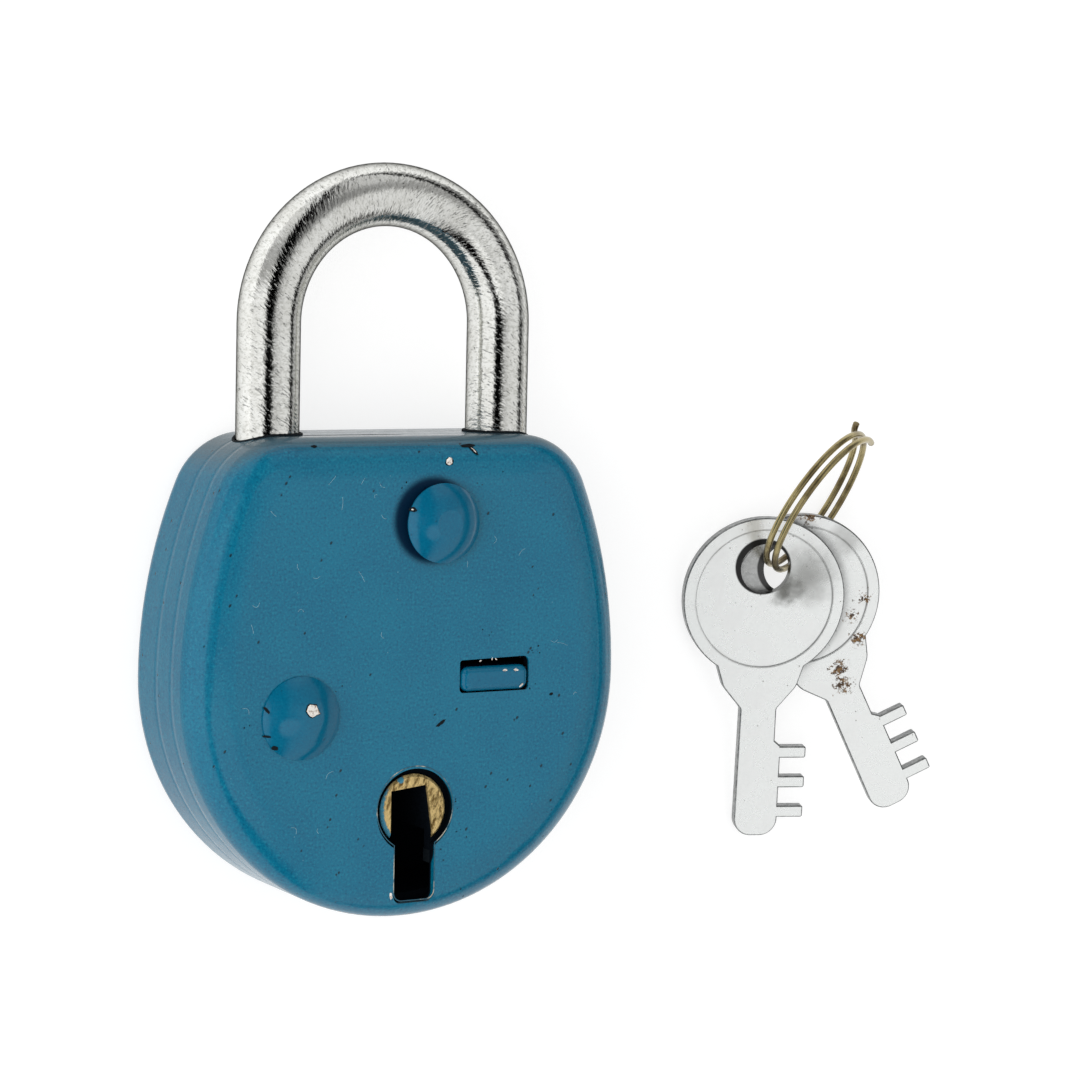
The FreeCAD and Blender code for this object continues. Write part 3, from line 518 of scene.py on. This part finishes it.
def bare_edge():
    """Sheet edge where the enamel has rubbed through here and there to pale grey steel."""
    g = Graph("bare_edge")
    place = g.place()
    worn = g.ramp(g.noise(place, 0.35, 3.0, 0.6), 0.48, 0.60)
    g.set(Base_Color=g.mix(worn, EDGE_PAINTED, EDGE_BARE))
    g.set(Roughness=g.ramp(worn, 0.0, 1.0, 0.3, 0.5))
    g.set(Normal=g.bump(g.noise(place, 4.0, 3.0), 0.5, 0.05 * MM))
    return g.material


def soot_and_shade():
    """Near black: grime, bottoms of paint nicks, and painted shade in the keyhole and leg gaps."""
    g = Graph("soot_and_shade")
    tone = g.noise(g.place(), 3.0, 3.0)
    g.set(Base_Color=g.mix(tone, SOOT_AND_SHADE, SOOT_LIGHT), Roughness=g.ramp(tone, 0.0, 1.0, 0.6, 0.85))
    g.set(Specular_IOR_Level=0.1)
    return g.material


def pale_scratch():
    """Hair scratches and lint caught in the enamel."""
    g = Graph("pale_scratch")
    tone = g.noise(g.place(), 1.6, 2.0)
    g.set(Base_Color=g.mix(tone, HAIR_DARK, HAIR_PALE), Roughness=0.5)
    return g.material


# ---------------------------------------------------------------- metals

def along_rod(g, place):
    """Place unrolled along the shackle: along the rod, then off it to the side and up."""
    x, y, z = g.parts(place)
    past = g.minus(y, (SHACKLE_HIGH.y - BEND_RADIUS) / MM)
    bent = g.larger(past, 0.0)
    turn = g.math("ARCTAN2", x, g.plus(bent, 0.001))
    straight = g.times(g.math("SIGN", x), g.math("MINIMUM", past, 0.0))
    along = g.minus(g.times(turn, BEND_RADIUS / MM), straight)
    return g.add("CombineXYZ", {0: along, 1: g.length(x, bent), 2: z})


def leg_grime_and_shade(g, place, ragged):
    """Ragged dark band where a leg enters the case, lower on its outer side as the rim is."""
    x, y, _ = g.parts(place)
    outer_side = g.ramp(g.unsigned(x), BEND_RADIUS / MM - 0.9, (BEND_RADIUS + ROD_RADIUS) / MM)
    y = g.plus(g.plus(y, outer_side), ragged)
    top = CASE_TOP / MM
    return g.times(g.ramp(y, top + 0.25, top, 0.0, 0.7), g.ramp(y, top - 2.2, top - 0.3))


def shackle_plating():
    """Bright plating over a drawn rod: crosswise grain, small black pits and dull patches."""
    g = Graph("shackle_plating")
    place = g.place()
    rod = along_rod(g, place)
    cloud = g.noise(place, 0.16, 4.0, 0.6)
    cross = g.noise(g.stretched(rod, (2.6, 0.7, 0.7), (0.0, 0.3, 0.7)), 1.0, 3.0, 0.5)
    deep = g.noise(g.stretched(rod, (4.0, 0.8, 0.8), (0.0, 0.2, 0.6)), 1.0, 3.0, 0.6)
    fine = g.noise(place, 1.6, 2.0, 0.5)
    mottle = g.noise(g.stretched(rod, (2.6, 1.5, 1.5)), 1.0, 4.0, 0.7)
    cuts = g.ramp(deep, 0.60, 0.68)
    pits = specks(g, rod, 0.55, 0.085, 0.35)
    # Grime, and painted shade of the gap round each leg
    grime_and_shade = leg_grime_and_shade(g, place, g.swing(cross, 1.2))
    colour = g.mix(g.ramp(cloud, 0.35, 0.7), PLATING_DULL, PLATING)
    colour = g.mix(g.ramp(mottle, 0.56, 0.34, 0.0, 0.75), colour, PLATING_GREY)
    colour = g.mix(g.times(cuts, 0.55), colour, PLATING_CUT)
    colour = g.mix(g.times(pits, 0.8), colour, PLATING_PIT)
    colour = g.mix(grime_and_shade, colour, PLATING_GRIME_SHADE)
    height = g.plus(g.times(fine, 0.012), g.times(cross, 0.06))
    height = g.minus(height, g.times(g.plus(cuts, pits), 0.02))
    rough = g.plus(g.ramp(cloud, 0.3, 0.7, 0.05, 0.09), g.times(grime_and_shade, 0.3))
    g.set(Base_Color=colour, Metallic=1.0, Roughness=rough, Specular_Tint=PLATING_TINT)
    g.set(Normal=g.bump(height, 1.0, MM))
    return g.material


def drum_paint(g, place):
    """1 where enamel lies on the drum: on its left and lower rim, and a spot at its top."""
    x, y, _ = g.parts(place)
    centre = DRUM_AT / MM
    ragged = g.swing(g.noise(place, 0.9, 3.0), 1.0)
    rim = g.ramp(g.plus(g.across(place, centre), ragged), DRUM_RIM, DRUM_RIM + 0.2)
    side = g.plus(g.times(g.minus(x, centre.x), -0.8), g.times(g.minus(y, centre.y), -0.75))
    painted = g.times(rim, g.ramp(g.plus(side, ragged), 0.6, 1.6))
    spot = g.distance(place, (*(centre.xy + DRUM_SPOT), DRUM_HIGH.z / MM))
    return g.larger(painted, g.ramp(g.plus(spot, ragged), 0.7, 0.45))


def drum_brass():
    """Cast brass drum: rough bright face, some enamel on it, painted shade deeper down."""
    g = Graph("drum_brass")
    place = g.place()
    z = g.parts(place)[2]
    face = DRUM_HIGH.z / MM
    cast = g.noise(place, 1.3, 5.0, 0.7)
    streaks = g.noise(g.stretched(place, (1.9, 0.6, 1.0), (0.0, 0.0, 0.3)), 1.0, 4.0, 0.7)
    painted = drum_paint(g, place)
    # Painted shade, darker with depth below the drum's face
    deep = g.ramp(z, face - 0.15, face - 0.6)
    colour = g.mix(g.ramp(streaks, 0.34, 0.55), BRASS_DARK, BRASS)
    colour = g.mix(g.ramp(cast, 0.40, 0.28, 0.0, 0.8), colour, BRASS_DARK)
    colour = g.mix(painted, colour, BRASS_PAINTED)
    colour = g.mix(deep, colour, SOOT_AND_SHADE)
    rough = g.larger(g.ramp(cast, 0.3, 0.7, 0.45, 0.3), g.times(deep, 0.8))
    height = g.plus(g.plus(cast, streaks), g.times(painted, 0.3))
    g.set(Base_Color=colour, Metallic=g.ramp(g.larger(painted, deep), 0.0, 1.0, 0.65, 0.0))
    g.set(Roughness=rough, Specular_IOR_Level=g.ramp(deep, 0.0, 1.0, 0.5, 0.05))
    g.set(Normal=g.bump(height, 1.0, 0.25 * MM))
    return g.material


def old_steel(name, tint, rough):
    """Unplated parts inside the case: patchy mill scale and fine file marks."""
    g = Graph(name)
    place = g.place()
    scale = g.noise(place, 0.35, 5.0, 0.65)
    lines = g.noise(g.stretched(place, (0.4, 6.0, 0.4)), 1.0, 3.0)
    dark = tuple(part * 0.45 for part in tint)
    g.set(Base_Color=g.mix(g.ramp(scale, 0.3, 0.7), dark, tint), Metallic=0.4)
    g.set(Roughness=g.ramp(scale, 0.3, 0.7, rough, rough + 0.2))
    g.set(Normal=g.bump(lines, 0.3, 0.05 * MM))
    return g.material


def key_frame(joint_name, yaw=0.0):
    """Key's own axes at rest: x to its bits, y to its bow's top, from the hinge in its hole."""
    joint = JOINTS[joint_name]
    normal = Vector(joint["axis"])
    pitch = Matrix.Rotation(math.asin(-normal.y), 4, "X")
    roll = Matrix.Rotation(math.atan2(normal.x, normal.z), 4, "Y")
    return Matrix.Translation(Vector(joint["pos_m"])) @ roll @ pitch @ Matrix.Rotation(yaw, 4, "Z")


def on_key(axes, x, y):
    """Place on a key's upper face, given and returned in millimetres."""
    return tuple(axes @ Vector((x * MM, y * MM, KEY_THICKNESS)) / MM)


def rust_stain(g, place, axes, spots):
    """1 in ragged patches round the given spots on a key."""
    ragged = g.swing(g.noise(place, 1.5, 4.0, 0.8), 9.0)
    stain = 0.0
    for x, y, reach in spots:
        near = g.plus(g.distance(place, on_key(axes, x, y)), ragged)
        stain = g.larger(stain, g.ramp(near, reach * 0.75, reach * 0.35))
    return stain


def key_nickel(name, axes, dark_patches, rust_spots=(), neighbour=None):
    """Tumbled nickel plate: white satin faces, dark edges, pinholes, dark patches and rust.

    neighbour is the centre of the other key's bow, whose shadow is painted on this one.
    """
    g = Graph(name)
    place = g.place()
    cloud = g.noise(place, 0.25, 4.0, 0.6)
    tumble = g.noise(place, 1.6, 5.0, 0.62)
    streaks = g.ramp(tumble, 0.35, 0.65, 0.78, 1.0)
    pinholes = specks(g, place, 0.8, 0.10, 0.3)
    colour = g.mix(g.ramp(cloud, 0.35, 0.65), NICKEL_DULL, NICKEL)
    colour = g.mix(g.times(pinholes, 0.7), colour, PINHOLE)
    # Sheared edges darker: dull cut steel, and painted shade
    flat = g.unsigned(g.facing(tuple(axes.to_3x3() @ Vector(UPWARD))))
    colour = g.mix(g.times(g.ramp(flat, 0.93, 0.70), streaks), colour, SHEARED_AND_SHADED)
    from_bow = g.distance(place, on_key(axes, 0.0, -BOW_CENTRE / MM))
    disc_line = g.ramp(g.unsigned(g.minus(from_bow, BOW_DISC_RADIUS / MM)), 0.16, 0.05)
    colour = g.mix(g.times(disc_line, g.ramp(cloud, 0.35, 0.7, 0.15, 0.5)), colour, DISC_LINE)
    uneven = g.times(g.noise(place, 0.45, 3.0, 0.55), 4.0)
    # Darker patches with ragged edges at the given places
    for x, y, reach, strength in dark_patches:
        from_patch = g.plus(g.distance(place, on_key(axes, x, y)), uneven)
        colour = g.mix(g.ramp(from_patch, reach + 2.0, 2.0, 0.0, strength), colour, KEY_DARK_PATCH)
    # Painted shade round the key's hole
    from_hole = g.distance(place, on_key(axes, *HOLE_SHADE_CENTRE))
    hole_shade = g.ramp(from_hole, HOLE_SHADE_RADIUS + 0.25, HOLE_SHADE_RADIUS)
    colour = g.mix(hole_shade, colour, HOLE_SHADE)
    # Painted shadow of the other key's bow
    if neighbour is not None:
        from_neighbour = g.distance(place, neighbour)
        bow_shadow = g.ramp(from_neighbour, BOW_SHADOW_RADIUS + 1.6, BOW_SHADOW_RADIUS, 0.0, 0.6)
        colour = g.mix(g.times(bow_shadow, streaks), colour, BOW_SHADOW)
    metallic = 0.7
    if rust_spots:
        stain = rust_stain(g, place, axes, rust_spots)
        colour = g.mix(stain, colour, g.mix(g.ramp(tumble, 0.45, 0.6), RUST, RUST_LIGHT))
        metallic = g.times(g.minus(1.0, stain), metallic)
    height = g.minus(g.times(tumble, 0.8), g.times(pinholes, 0.5))
    height = g.minus(height, g.times(disc_line, 0.6))
    g.set(Base_Color=colour, Metallic=metallic, Roughness=g.ramp(cloud, 0.3, 0.7, 0.22, 0.34))
    g.set(Normal=g.bump(height, 0.5, 0.08 * MM))
    return g.material


def ring_wire():
    """Spring wire flashed with brass, browner where the plating has worn."""
    g = Graph("ring_wire")
    place = g.place()
    wear = g.noise(place, 0.22, 3.0, 0.5)
    draw = g.noise(place, 2.4, 3.0)
    colour = g.mix(g.ramp(wear, 0.3, 0.6), WIRE_DARK, WIRE)
    colour = g.mix(g.ramp(draw, 0.62, 0.75, 0.0, 0.5), colour, WIRE_WORN)
    g.set(Base_Color=colour, Metallic=0.9, Roughness=g.ramp(wear, 0.3, 0.7, 0.3, 0.22))
    g.set(Normal=g.bump(draw, 0.3, 0.04 * MM))
    return g.material


# ---------------------------------------------------------------- small pieces on the paint

def chip_mesh(name, reach_x, reach_y, seed):
    """Ragged flat flake about the origin, a little raised in the middle."""
    rng = random.Random(seed)
    rim = []
    for index in range(CHIP_CORNERS):
        turn = math.tau * index / CHIP_CORNERS
        ragged = rng.uniform(0.68, 1.0)
        rim.append((reach_x * ragged * math.cos(turn), reach_y * ragged * math.sin(turn), 0.0))
    faces = [(0, index + 1, (index + 1) % CHIP_CORNERS + 1) for index in range(CHIP_CORNERS)]
    mesh = bpy.data.meshes.new(name)
    mesh.from_pydata([(0.0, 0.0, CHIP_HEIGHT)] + rim, [], faces)
    return mesh


def on_surface(node, x, y, lift):
    """Place in millimetres just above a node's front at x and y, and the way it faces there."""
    high_up = Vector((x * MM, y * MM, 2 * FACE_Z))
    _, at, out, _ = NODES[node].ray_cast(high_up, -Vector(UPWARD))
    return at / MM + out * lift, out


def place_chip(name, at, size, material, turn, seed, facing=UPWARD):
    """A flake lying on the paint; its place and size are in millimetres, its turn in radians."""
    mesh = chip_mesh(name, size[0] / 2 * MM, size[1] / 2 * MM, seed)
    mesh.materials.append(material)
    chip = bpy.data.objects.new(name, mesh)
    bpy.context.scene.collection.objects.link(chip)
    aim = Vector(facing).to_track_quat("Z", "Y").to_matrix().to_4x4()
    chip.matrix_world = Matrix.Translation(Vector(at) * MM) @ aim @ Matrix.Rotation(turn, 4, "Z")
    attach(chip, "case")


def thin_line(name, runs, radius, material, cyclic=False):
    """Fine rounded lines through the given points, all in one curve object."""
    curve = bpy.data.curves.new(name, "CURVE")
    curve.dimensions = "3D"
    curve.bevel_depth = radius
    curve.bevel_resolution = 2
    for points in runs:
        spline = curve.splines.new("POLY" if cyclic else "NURBS")
        spline.points.add(len(points) - 1)
        for target, point in zip(spline.points, points):
            target.co = (*point, 1.0)
        if not cyclic:
            spline.use_endpoint_u = True
            spline.order_u = 3
        spline.use_cyclic_u = cyclic
    curve.materials.append(material)
    line = bpy.data.objects.new(name, curve)
    bpy.context.scene.collection.objects.link(line)
    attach(line, "case")


def face_arc(centre, radius, start, sweep, steps):
    """Points along an arc on the front face."""
    points = []
    for index in range(steps + 1):
        turn = start + sweep * index / steps
        x = centre[0] + radius * math.cos(turn)
        points.append((x, centre[1] + radius * math.sin(turn), FACE_Z))
    return points


def keyhole_outline(inset):
    """Points round the keyhole's edge in the front face, drawn inward by inset."""
    radius = KEYHOLE_RADIUS - inset
    half = SLOT_HALF - inset
    opening = math.asin(half / radius)
    sweep = 2 * math.pi - 2 * opening
    points = face_arc(DRUM_AT, radius, -math.pi / 2 + opening, sweep, 60)
    corner_y = DRUM_AT.y - SLOT_END + inset + SLOT_CORNER
    for side, start in ((-1, math.pi), (1, -math.pi / 2)):
        corner = (DRUM_AT.x + side * (half - SLOT_CORNER), corner_y)
        points += face_arc(corner, SLOT_CORNER, start, math.pi / 2, 6)
    return points


def leg_rim(leg_x):
    """Points along the mouth of a leg's hole, in the gap between the leg and the case."""
    leg = Vector((leg_x, 0.0, ROD_Z))
    high_up = Vector((0.0, 2 * CASE_TOP, 0.0))
    steps = 48
    points = []
    for index in range(steps):
        turn = math.tau * index / steps
        out = Vector((math.cos(turn), 0.0, math.sin(turn)))
        tops = []
        for node in ("rear_case", "case_band", "front_case"):
            start = leg + out * RIM_RADIUS + high_up
            hit, at, _, _ = NODES[node].ray_cast(start, Vector((0.0, -1.0, 0.0)))
            if hit:
                tops.append(at.y)
        point = leg + out * GAP_RADIUS
        point.y = max(tops) + GAP_BEAD_RISE
        points.append(point)
    return points


def lint_runs(seed):
    """Short curved hairs scattered over the front face, clear of holes and rivets."""
    rng = random.Random(seed)
    keep_off = ((DRUM_AT, 14 * MM), (TENON_AT, 7.5 * MM))
    keep_off += ((RIVET_AT, 6.5 * MM), (UPPER_AT, 6.5 * MM))
    low_end_radius = 26 * MM
    runs = []
    while len(runs) < LINT_COUNT:
        at = Vector((rng.uniform(-26, 26) * MM, rng.uniform(-25, 27) * MM, 0))
        if at.y < 0 and at.length > low_end_radius:
            continue
        if any((centre.xy - at.xy).length < reach for centre, reach in keep_off):
            continue
        turn = rng.uniform(0, 2 * math.pi)
        bend = rng.uniform(-1.1, 1.1)
        step = rng.uniform(0.25, 0.6) * MM
        points = []
        for _ in range(LINT_POINTS):
            points.append((at.x, at.y, FACE_Z + 0.005 * MM))
            at = at + Vector((math.cos(turn), math.sin(turn), 0)) * step
            turn += bend
        runs.append(points)
    return runs


def scattered_nicks(material, z, seed):
    """Little nicks in loose groups on the front face."""
    rng = random.Random(seed)
    for x, y, spread, count in NICK_GROUPS:
        for index in range(count):
            at = (x + rng.gauss(0, spread), y + rng.gauss(0, spread), z)
            size = (rng.uniform(0.15, 0.42), rng.uniform(0.12, 0.26))
            name = f"nick_{round(x)}_{round(y)}_{index}"
            place_chip(name, at, size, material, rng.uniform(0, math.pi), index)


def add_chips(grime_and_shade, primer):
    """Chips and nicks of the lock's paint; every place and size is in millimetres."""
    # Where the lever rivet's enamel is chipped through to the primer
    tilt = (0.085, 0.13, 0.99)
    at = Vector((-15.8, -2.8, RIVET_AT.z / MM - 0.09))
    place_chip("rivet_chip_edge", at, (2.7, 2.15), grime_and_shade, 0.2, 3, tilt)
    place_chip("rivet_chip", at + Vector((0.02, 0, 0.05)), (2.35, 1.85), primer, 0.2, 3, tilt)

    # Nicks at the rims of the two rivets
    for name, x, y, size, turn in (("rim_nick_high", -21.75, -2.6, (1.4, 0.5), 0.95),
                                  ("rim_nick_middle", -21.65, -6.1, (1.4, 0.42), 1.1),
                                  ("rim_nick_low", -20.5, -7.7, (1.1, 0.85), 0.6)):
        at, out = on_surface("lever_rivet", x, y, 0.06)
        place_chip(name, at, size, grime_and_shade, turn, 11, out)
    at, out = on_surface("upper_rivet", -1.25, 23.45, 0.05)
    place_chip("blot_edge", at, (0.8, 1.3), grime_and_shade, 0.3, 14, out)
    place_chip("blot_core", at + out * 0.05, (0.2, 0.45), primer, 0.3, 15, out)

    # The upper edge of the front case
    face = FACE_Z / MM
    on_face = face + 0.01
    tilt = (0.0, 0.5, 0.87)
    place_chip("top_chip", (4.9, 29.75, on_face + 0.03), (1.15, 1.1), primer, 0.4, 5)
    place_chip("top_chip_edge", (4.95, 29.65, on_face), (1.45, 1.35), grime_and_shade, 0.2, 6)
    place_chip("edge_stroke", (8.7, 31.2, face - 0.38), (2.6, 0.8), grime_and_shade, -0.9, 16, tilt)
    place_chip("edge_fleck", (8.8, 31.15, face - 0.33), (1.2, 0.22), primer, -0.9, 17, tilt)
    steeper = (0.0, 0.75, 0.66)
    place_chip("edge_arc", (8.1, 31.75, face - 0.72), (2.8, 0.8), grime_and_shade, 0.1, 18, steeper)
    at, out = on_surface("front_case", -14.8, 31.9, 0.03)
    place_chip("shoulder_nick", at, (1.05, 0.6), grime_and_shade, 0.1, 22, out)

    # The front face, the tenon in its window and the edge of the window
    place_chip("dash_nick", (4.4, -5.8, on_face), (2.1, 0.62), grime_and_shade, 0.6, 7)
    place_chip("right_nick", (21.5, -2.7, on_face), (0.75, 0.5), grime_and_shade, 0.2, 8)
    place_chip("slot_chip", (-2.75, -29.0, on_face), (0.5, 1.2), primer, 0.1, 9)
    on_tenon = TENON_HIGH.z / MM - 0.03
    place_chip("tenon_fleck_left", (13.9, 1.05, on_tenon), (0.9, 0.4), primer, 0.1, 19, tilt)
    place_chip("tenon_fleck_right", (15.6, 1.0, on_tenon), (0.8, 0.45), primer, -0.1, 20, tilt)
    low_tilt = (0.2, -0.4, 0.87)
    place_chip("tenon_fleck_low", (16.5, -1.15, on_tenon), (0.9, 0.5), primer, 0.4, 21, low_tilt)
    for index, (x, y) in enumerate(((10.3, 2.4), (12.1, 2.6), (12.7, 2.55))):
        at = (x, y, on_face)
        place_chip(f"window_fleck_{index}", at, (0.45, 0.22), primer, 0.5 + index, index)
    scattered_nicks(grime_and_shade, on_face, seed=23)


# ---------------------------------------------------------------- floor, light and camera

def paper_floor():
    """Matt white paper that reads as white, and keeps the shadow of what lies on it."""
    g = Graph("paper_floor")
    fibre = g.noise(g.place(), 0.5, 3.0)
    g.set(Base_Color=g.mix(fibre, PAPER_SHADED, PAPER), Roughness=0.9, Specular_IOR_Level=0.0)
    rays = g.add("LightPath").node.outputs
    seen = g.larger(rays["Is Camera Ray"], rays["Is Glossy Ray"])
    seen = g.larger(seen, rays["Is Transmission Ray"])
    g.set(Emission_Color=WHITE, Emission_Strength=g.times(seen, PAPER_GLOW))
    return g.material


def add_floor():
    """Square floor at the level of the lock's rear face."""
    corners = ((-1, -1), (1, -1), (1, 1), (-1, 1))
    mesh = bpy.data.meshes.new("floor")
    mesh.from_pydata([(x * FLOOR_HALF, y * FLOOR_HALF, 0) for x, y in corners], [], [(0, 1, 2, 3)])
    mesh.materials.append(paper_floor())
    floor = bpy.data.objects.new("floor", mesh)
    floor.location.z = CAD_BOX[0][2]
    bpy.context.scene.collection.objects.link(floor)


def room_levels(g, turn):
    """Colour ramp of the levels that metal sees at each angle round the Y axis."""
    ramp = g.add("ValToRGB", {0: g.plus(g.math("DIVIDE", turn, math.tau), 0.5)})
    elements = ramp.node.color_ramp.elements
    for index, (degrees, level) in enumerate(ROOM_LEVELS):
        position = (degrees + 180) / 360
        element = elements[index] if index < 2 else elements.new(position)
        element.position = position
        element.color = (level, level, level, 1.0)
    return ramp


def studio_world():
    """White room; mirror-like metal also sees dark gaps between light panels, and a lamp."""
    g = WorldGraph("studio")
    bpy.context.scene.world = g.world
    toward = g.add("TexCoord", output="Generated")
    x, y, z = g.parts(toward)
    levels = room_levels(g, g.math("ARCTAN2", x, z))
    overhead = g.plus(g.ramp(y, 0.18, 0.42, 1.0, 0.45), g.ramp(y, 0.6, 0.8, 0.0, 0.35))
    in_metal = g.add("VectorMath", {0: levels, "Scale": overhead}, operation="SCALE")
    in_metal = g.mix(g.ramp(g.distance(toward, TABLE_LAMP), 0.30, 0.20), in_metal, WHITE)
    rays = g.add("LightPath").node.outputs
    room = g.blend(rays["Is Glossy Ray"], g.light(WHITE, ROOM_STRENGTH), g.light(in_metal))
    direct = g.larger(rays["Is Camera Ray"], rays["Is Transmission Ray"])
    g.add("OutputWorld", {"Surface": g.blend(direct, room, g.light(WHITE))})


def add_panel():
    """Soft rectangular light to the left, facing the lock; metal doesn't mirror it."""
    lamp = bpy.data.lights.new("left_panel", "AREA")
    lamp.shape = "RECTANGLE"
    lamp.size = PANEL_WIDTH
    lamp.size_y = PANEL_LENGTH
    lamp.energy = PANEL_POWER
    panel = bpy.data.objects.new("left_panel", lamp)
    bpy.context.scene.collection.objects.link(panel)
    direction = Vector((-math.sin(PANEL_LEFT), 0.0, math.cos(PANEL_LEFT)))
    panel.location = direction.normalized() * PANEL_DISTANCE
    panel.rotation_euler = direction.to_track_quat("Z", "Y").to_euler()
    panel.visible_glossy = False


def add_camera():
    """Camera to the left of the face's axis and a little above it, rolled slightly."""
    back = Vector((-math.sin(CAMERA_LEFT) * math.cos(CAMERA_UP), math.sin(CAMERA_UP),
                   math.cos(CAMERA_LEFT) * math.cos(CAMERA_UP)))
    level_right = Vector((math.cos(CAMERA_LEFT), 0.0, math.sin(CAMERA_LEFT)))
    level_up = back.cross(level_right)
    right = level_right * math.cos(CAMERA_ROLL) + level_up * math.sin(CAMERA_ROLL)
    up = level_up * math.cos(CAMERA_ROLL) - level_right * math.sin(CAMERA_ROLL)
    spot = right * CAMERA_ASIDE + up * CAMERA_LIFT + back * CAMERA_DISTANCE
    camera_data = bpy.data.cameras.new("camera")
    camera_data.sensor_width = SENSOR
    camera_data.lens = LENS
    camera_data.clip_start = 10 * MM
    camera = bpy.data.objects.new("camera", camera_data)
    bpy.context.scene.collection.objects.link(camera)
    axes = Matrix((right, up, back)).transposed().to_4x4()
    camera.matrix_world = Matrix.Translation(spot) @ axes
    bpy.context.scene.camera = camera


# ---------------------------------------------------------------- the lock

dress(case_enamel(), "rear_case", "case_band", "front_case")
dress(rivet_enamel(), "lever_rivet", "upper_rivet", "guide_block")
dress(shackle_plating(), "shackle")
dress(drum_brass(), "key_drum")
# Inner parts near black: mill scale, and painted shade inside the case
inner = old_steel("inner_steel", OLD_STEEL_AND_SHADE, 0.5)
dress(inner, "heel_guide", "lever_spacers", "upper_spacers", "rear_bush")
dress(inner, "bolt_plate", "bolt_stump", "spring_post", "lever_1", "lever_2", "lever_3", "lever_4")
dress(old_steel("spring_steel", SPRING_BLUE, 0.3), "heel_ring", "lever_springs")

primer = chipped_primer()
grime_and_shade = soot_and_shade()
# The drum's collar is near black: painted shade round the drum
dress(grime_and_shade, "drum_collar")
hair = pale_scratch()
add_chips(grime_and_shade, primer)
thin_line("lint", lint_runs(seed=4), LINT_RADIUS, hair)
# Dark beads in the gaps round the legs: old grease, and painted shade of the gaps
thin_line("left_gap_bead", [leg_rim(LEFT_LEG_X)], GAP_BEAD_RADIUS, grime_and_shade, cyclic=True)
thin_line("right_gap_bead", [leg_rim(RIGHT_LEG_X)], GAP_BEAD_RADIUS, grime_and_shade, cyclic=True)
thin_line("keyhole_edge", [keyhole_outline(EDGE_INSET)], EDGE_RADIUS, bare_edge(), cyclic=True)

# ---------------------------------------------------------------- the keys and the ring

front_axes = key_frame("front_key_swing")
rear_axes = key_frame("rear_key_swing", REAR_KEY_YAW)
front_bow = on_key(front_axes, 0.0, -BOW_CENTRE / MM)
dress(key_nickel("front_key_nickel", front_axes, FRONT_DARK_PATCHES), "front_key")
rear_nickel = key_nickel("rear_key_nickel", rear_axes, REAR_DARK_PATCHES, REAR_RUST, front_bow)
dress(rear_nickel, "rear_key")
dress(ring_wire(), "key_ring")

# ---------------------------------------------------------------- the studio

add_floor()
studio_world()
add_panel()
add_camera()
bpy.context.scene.view_settings.view_transform = "Standard"
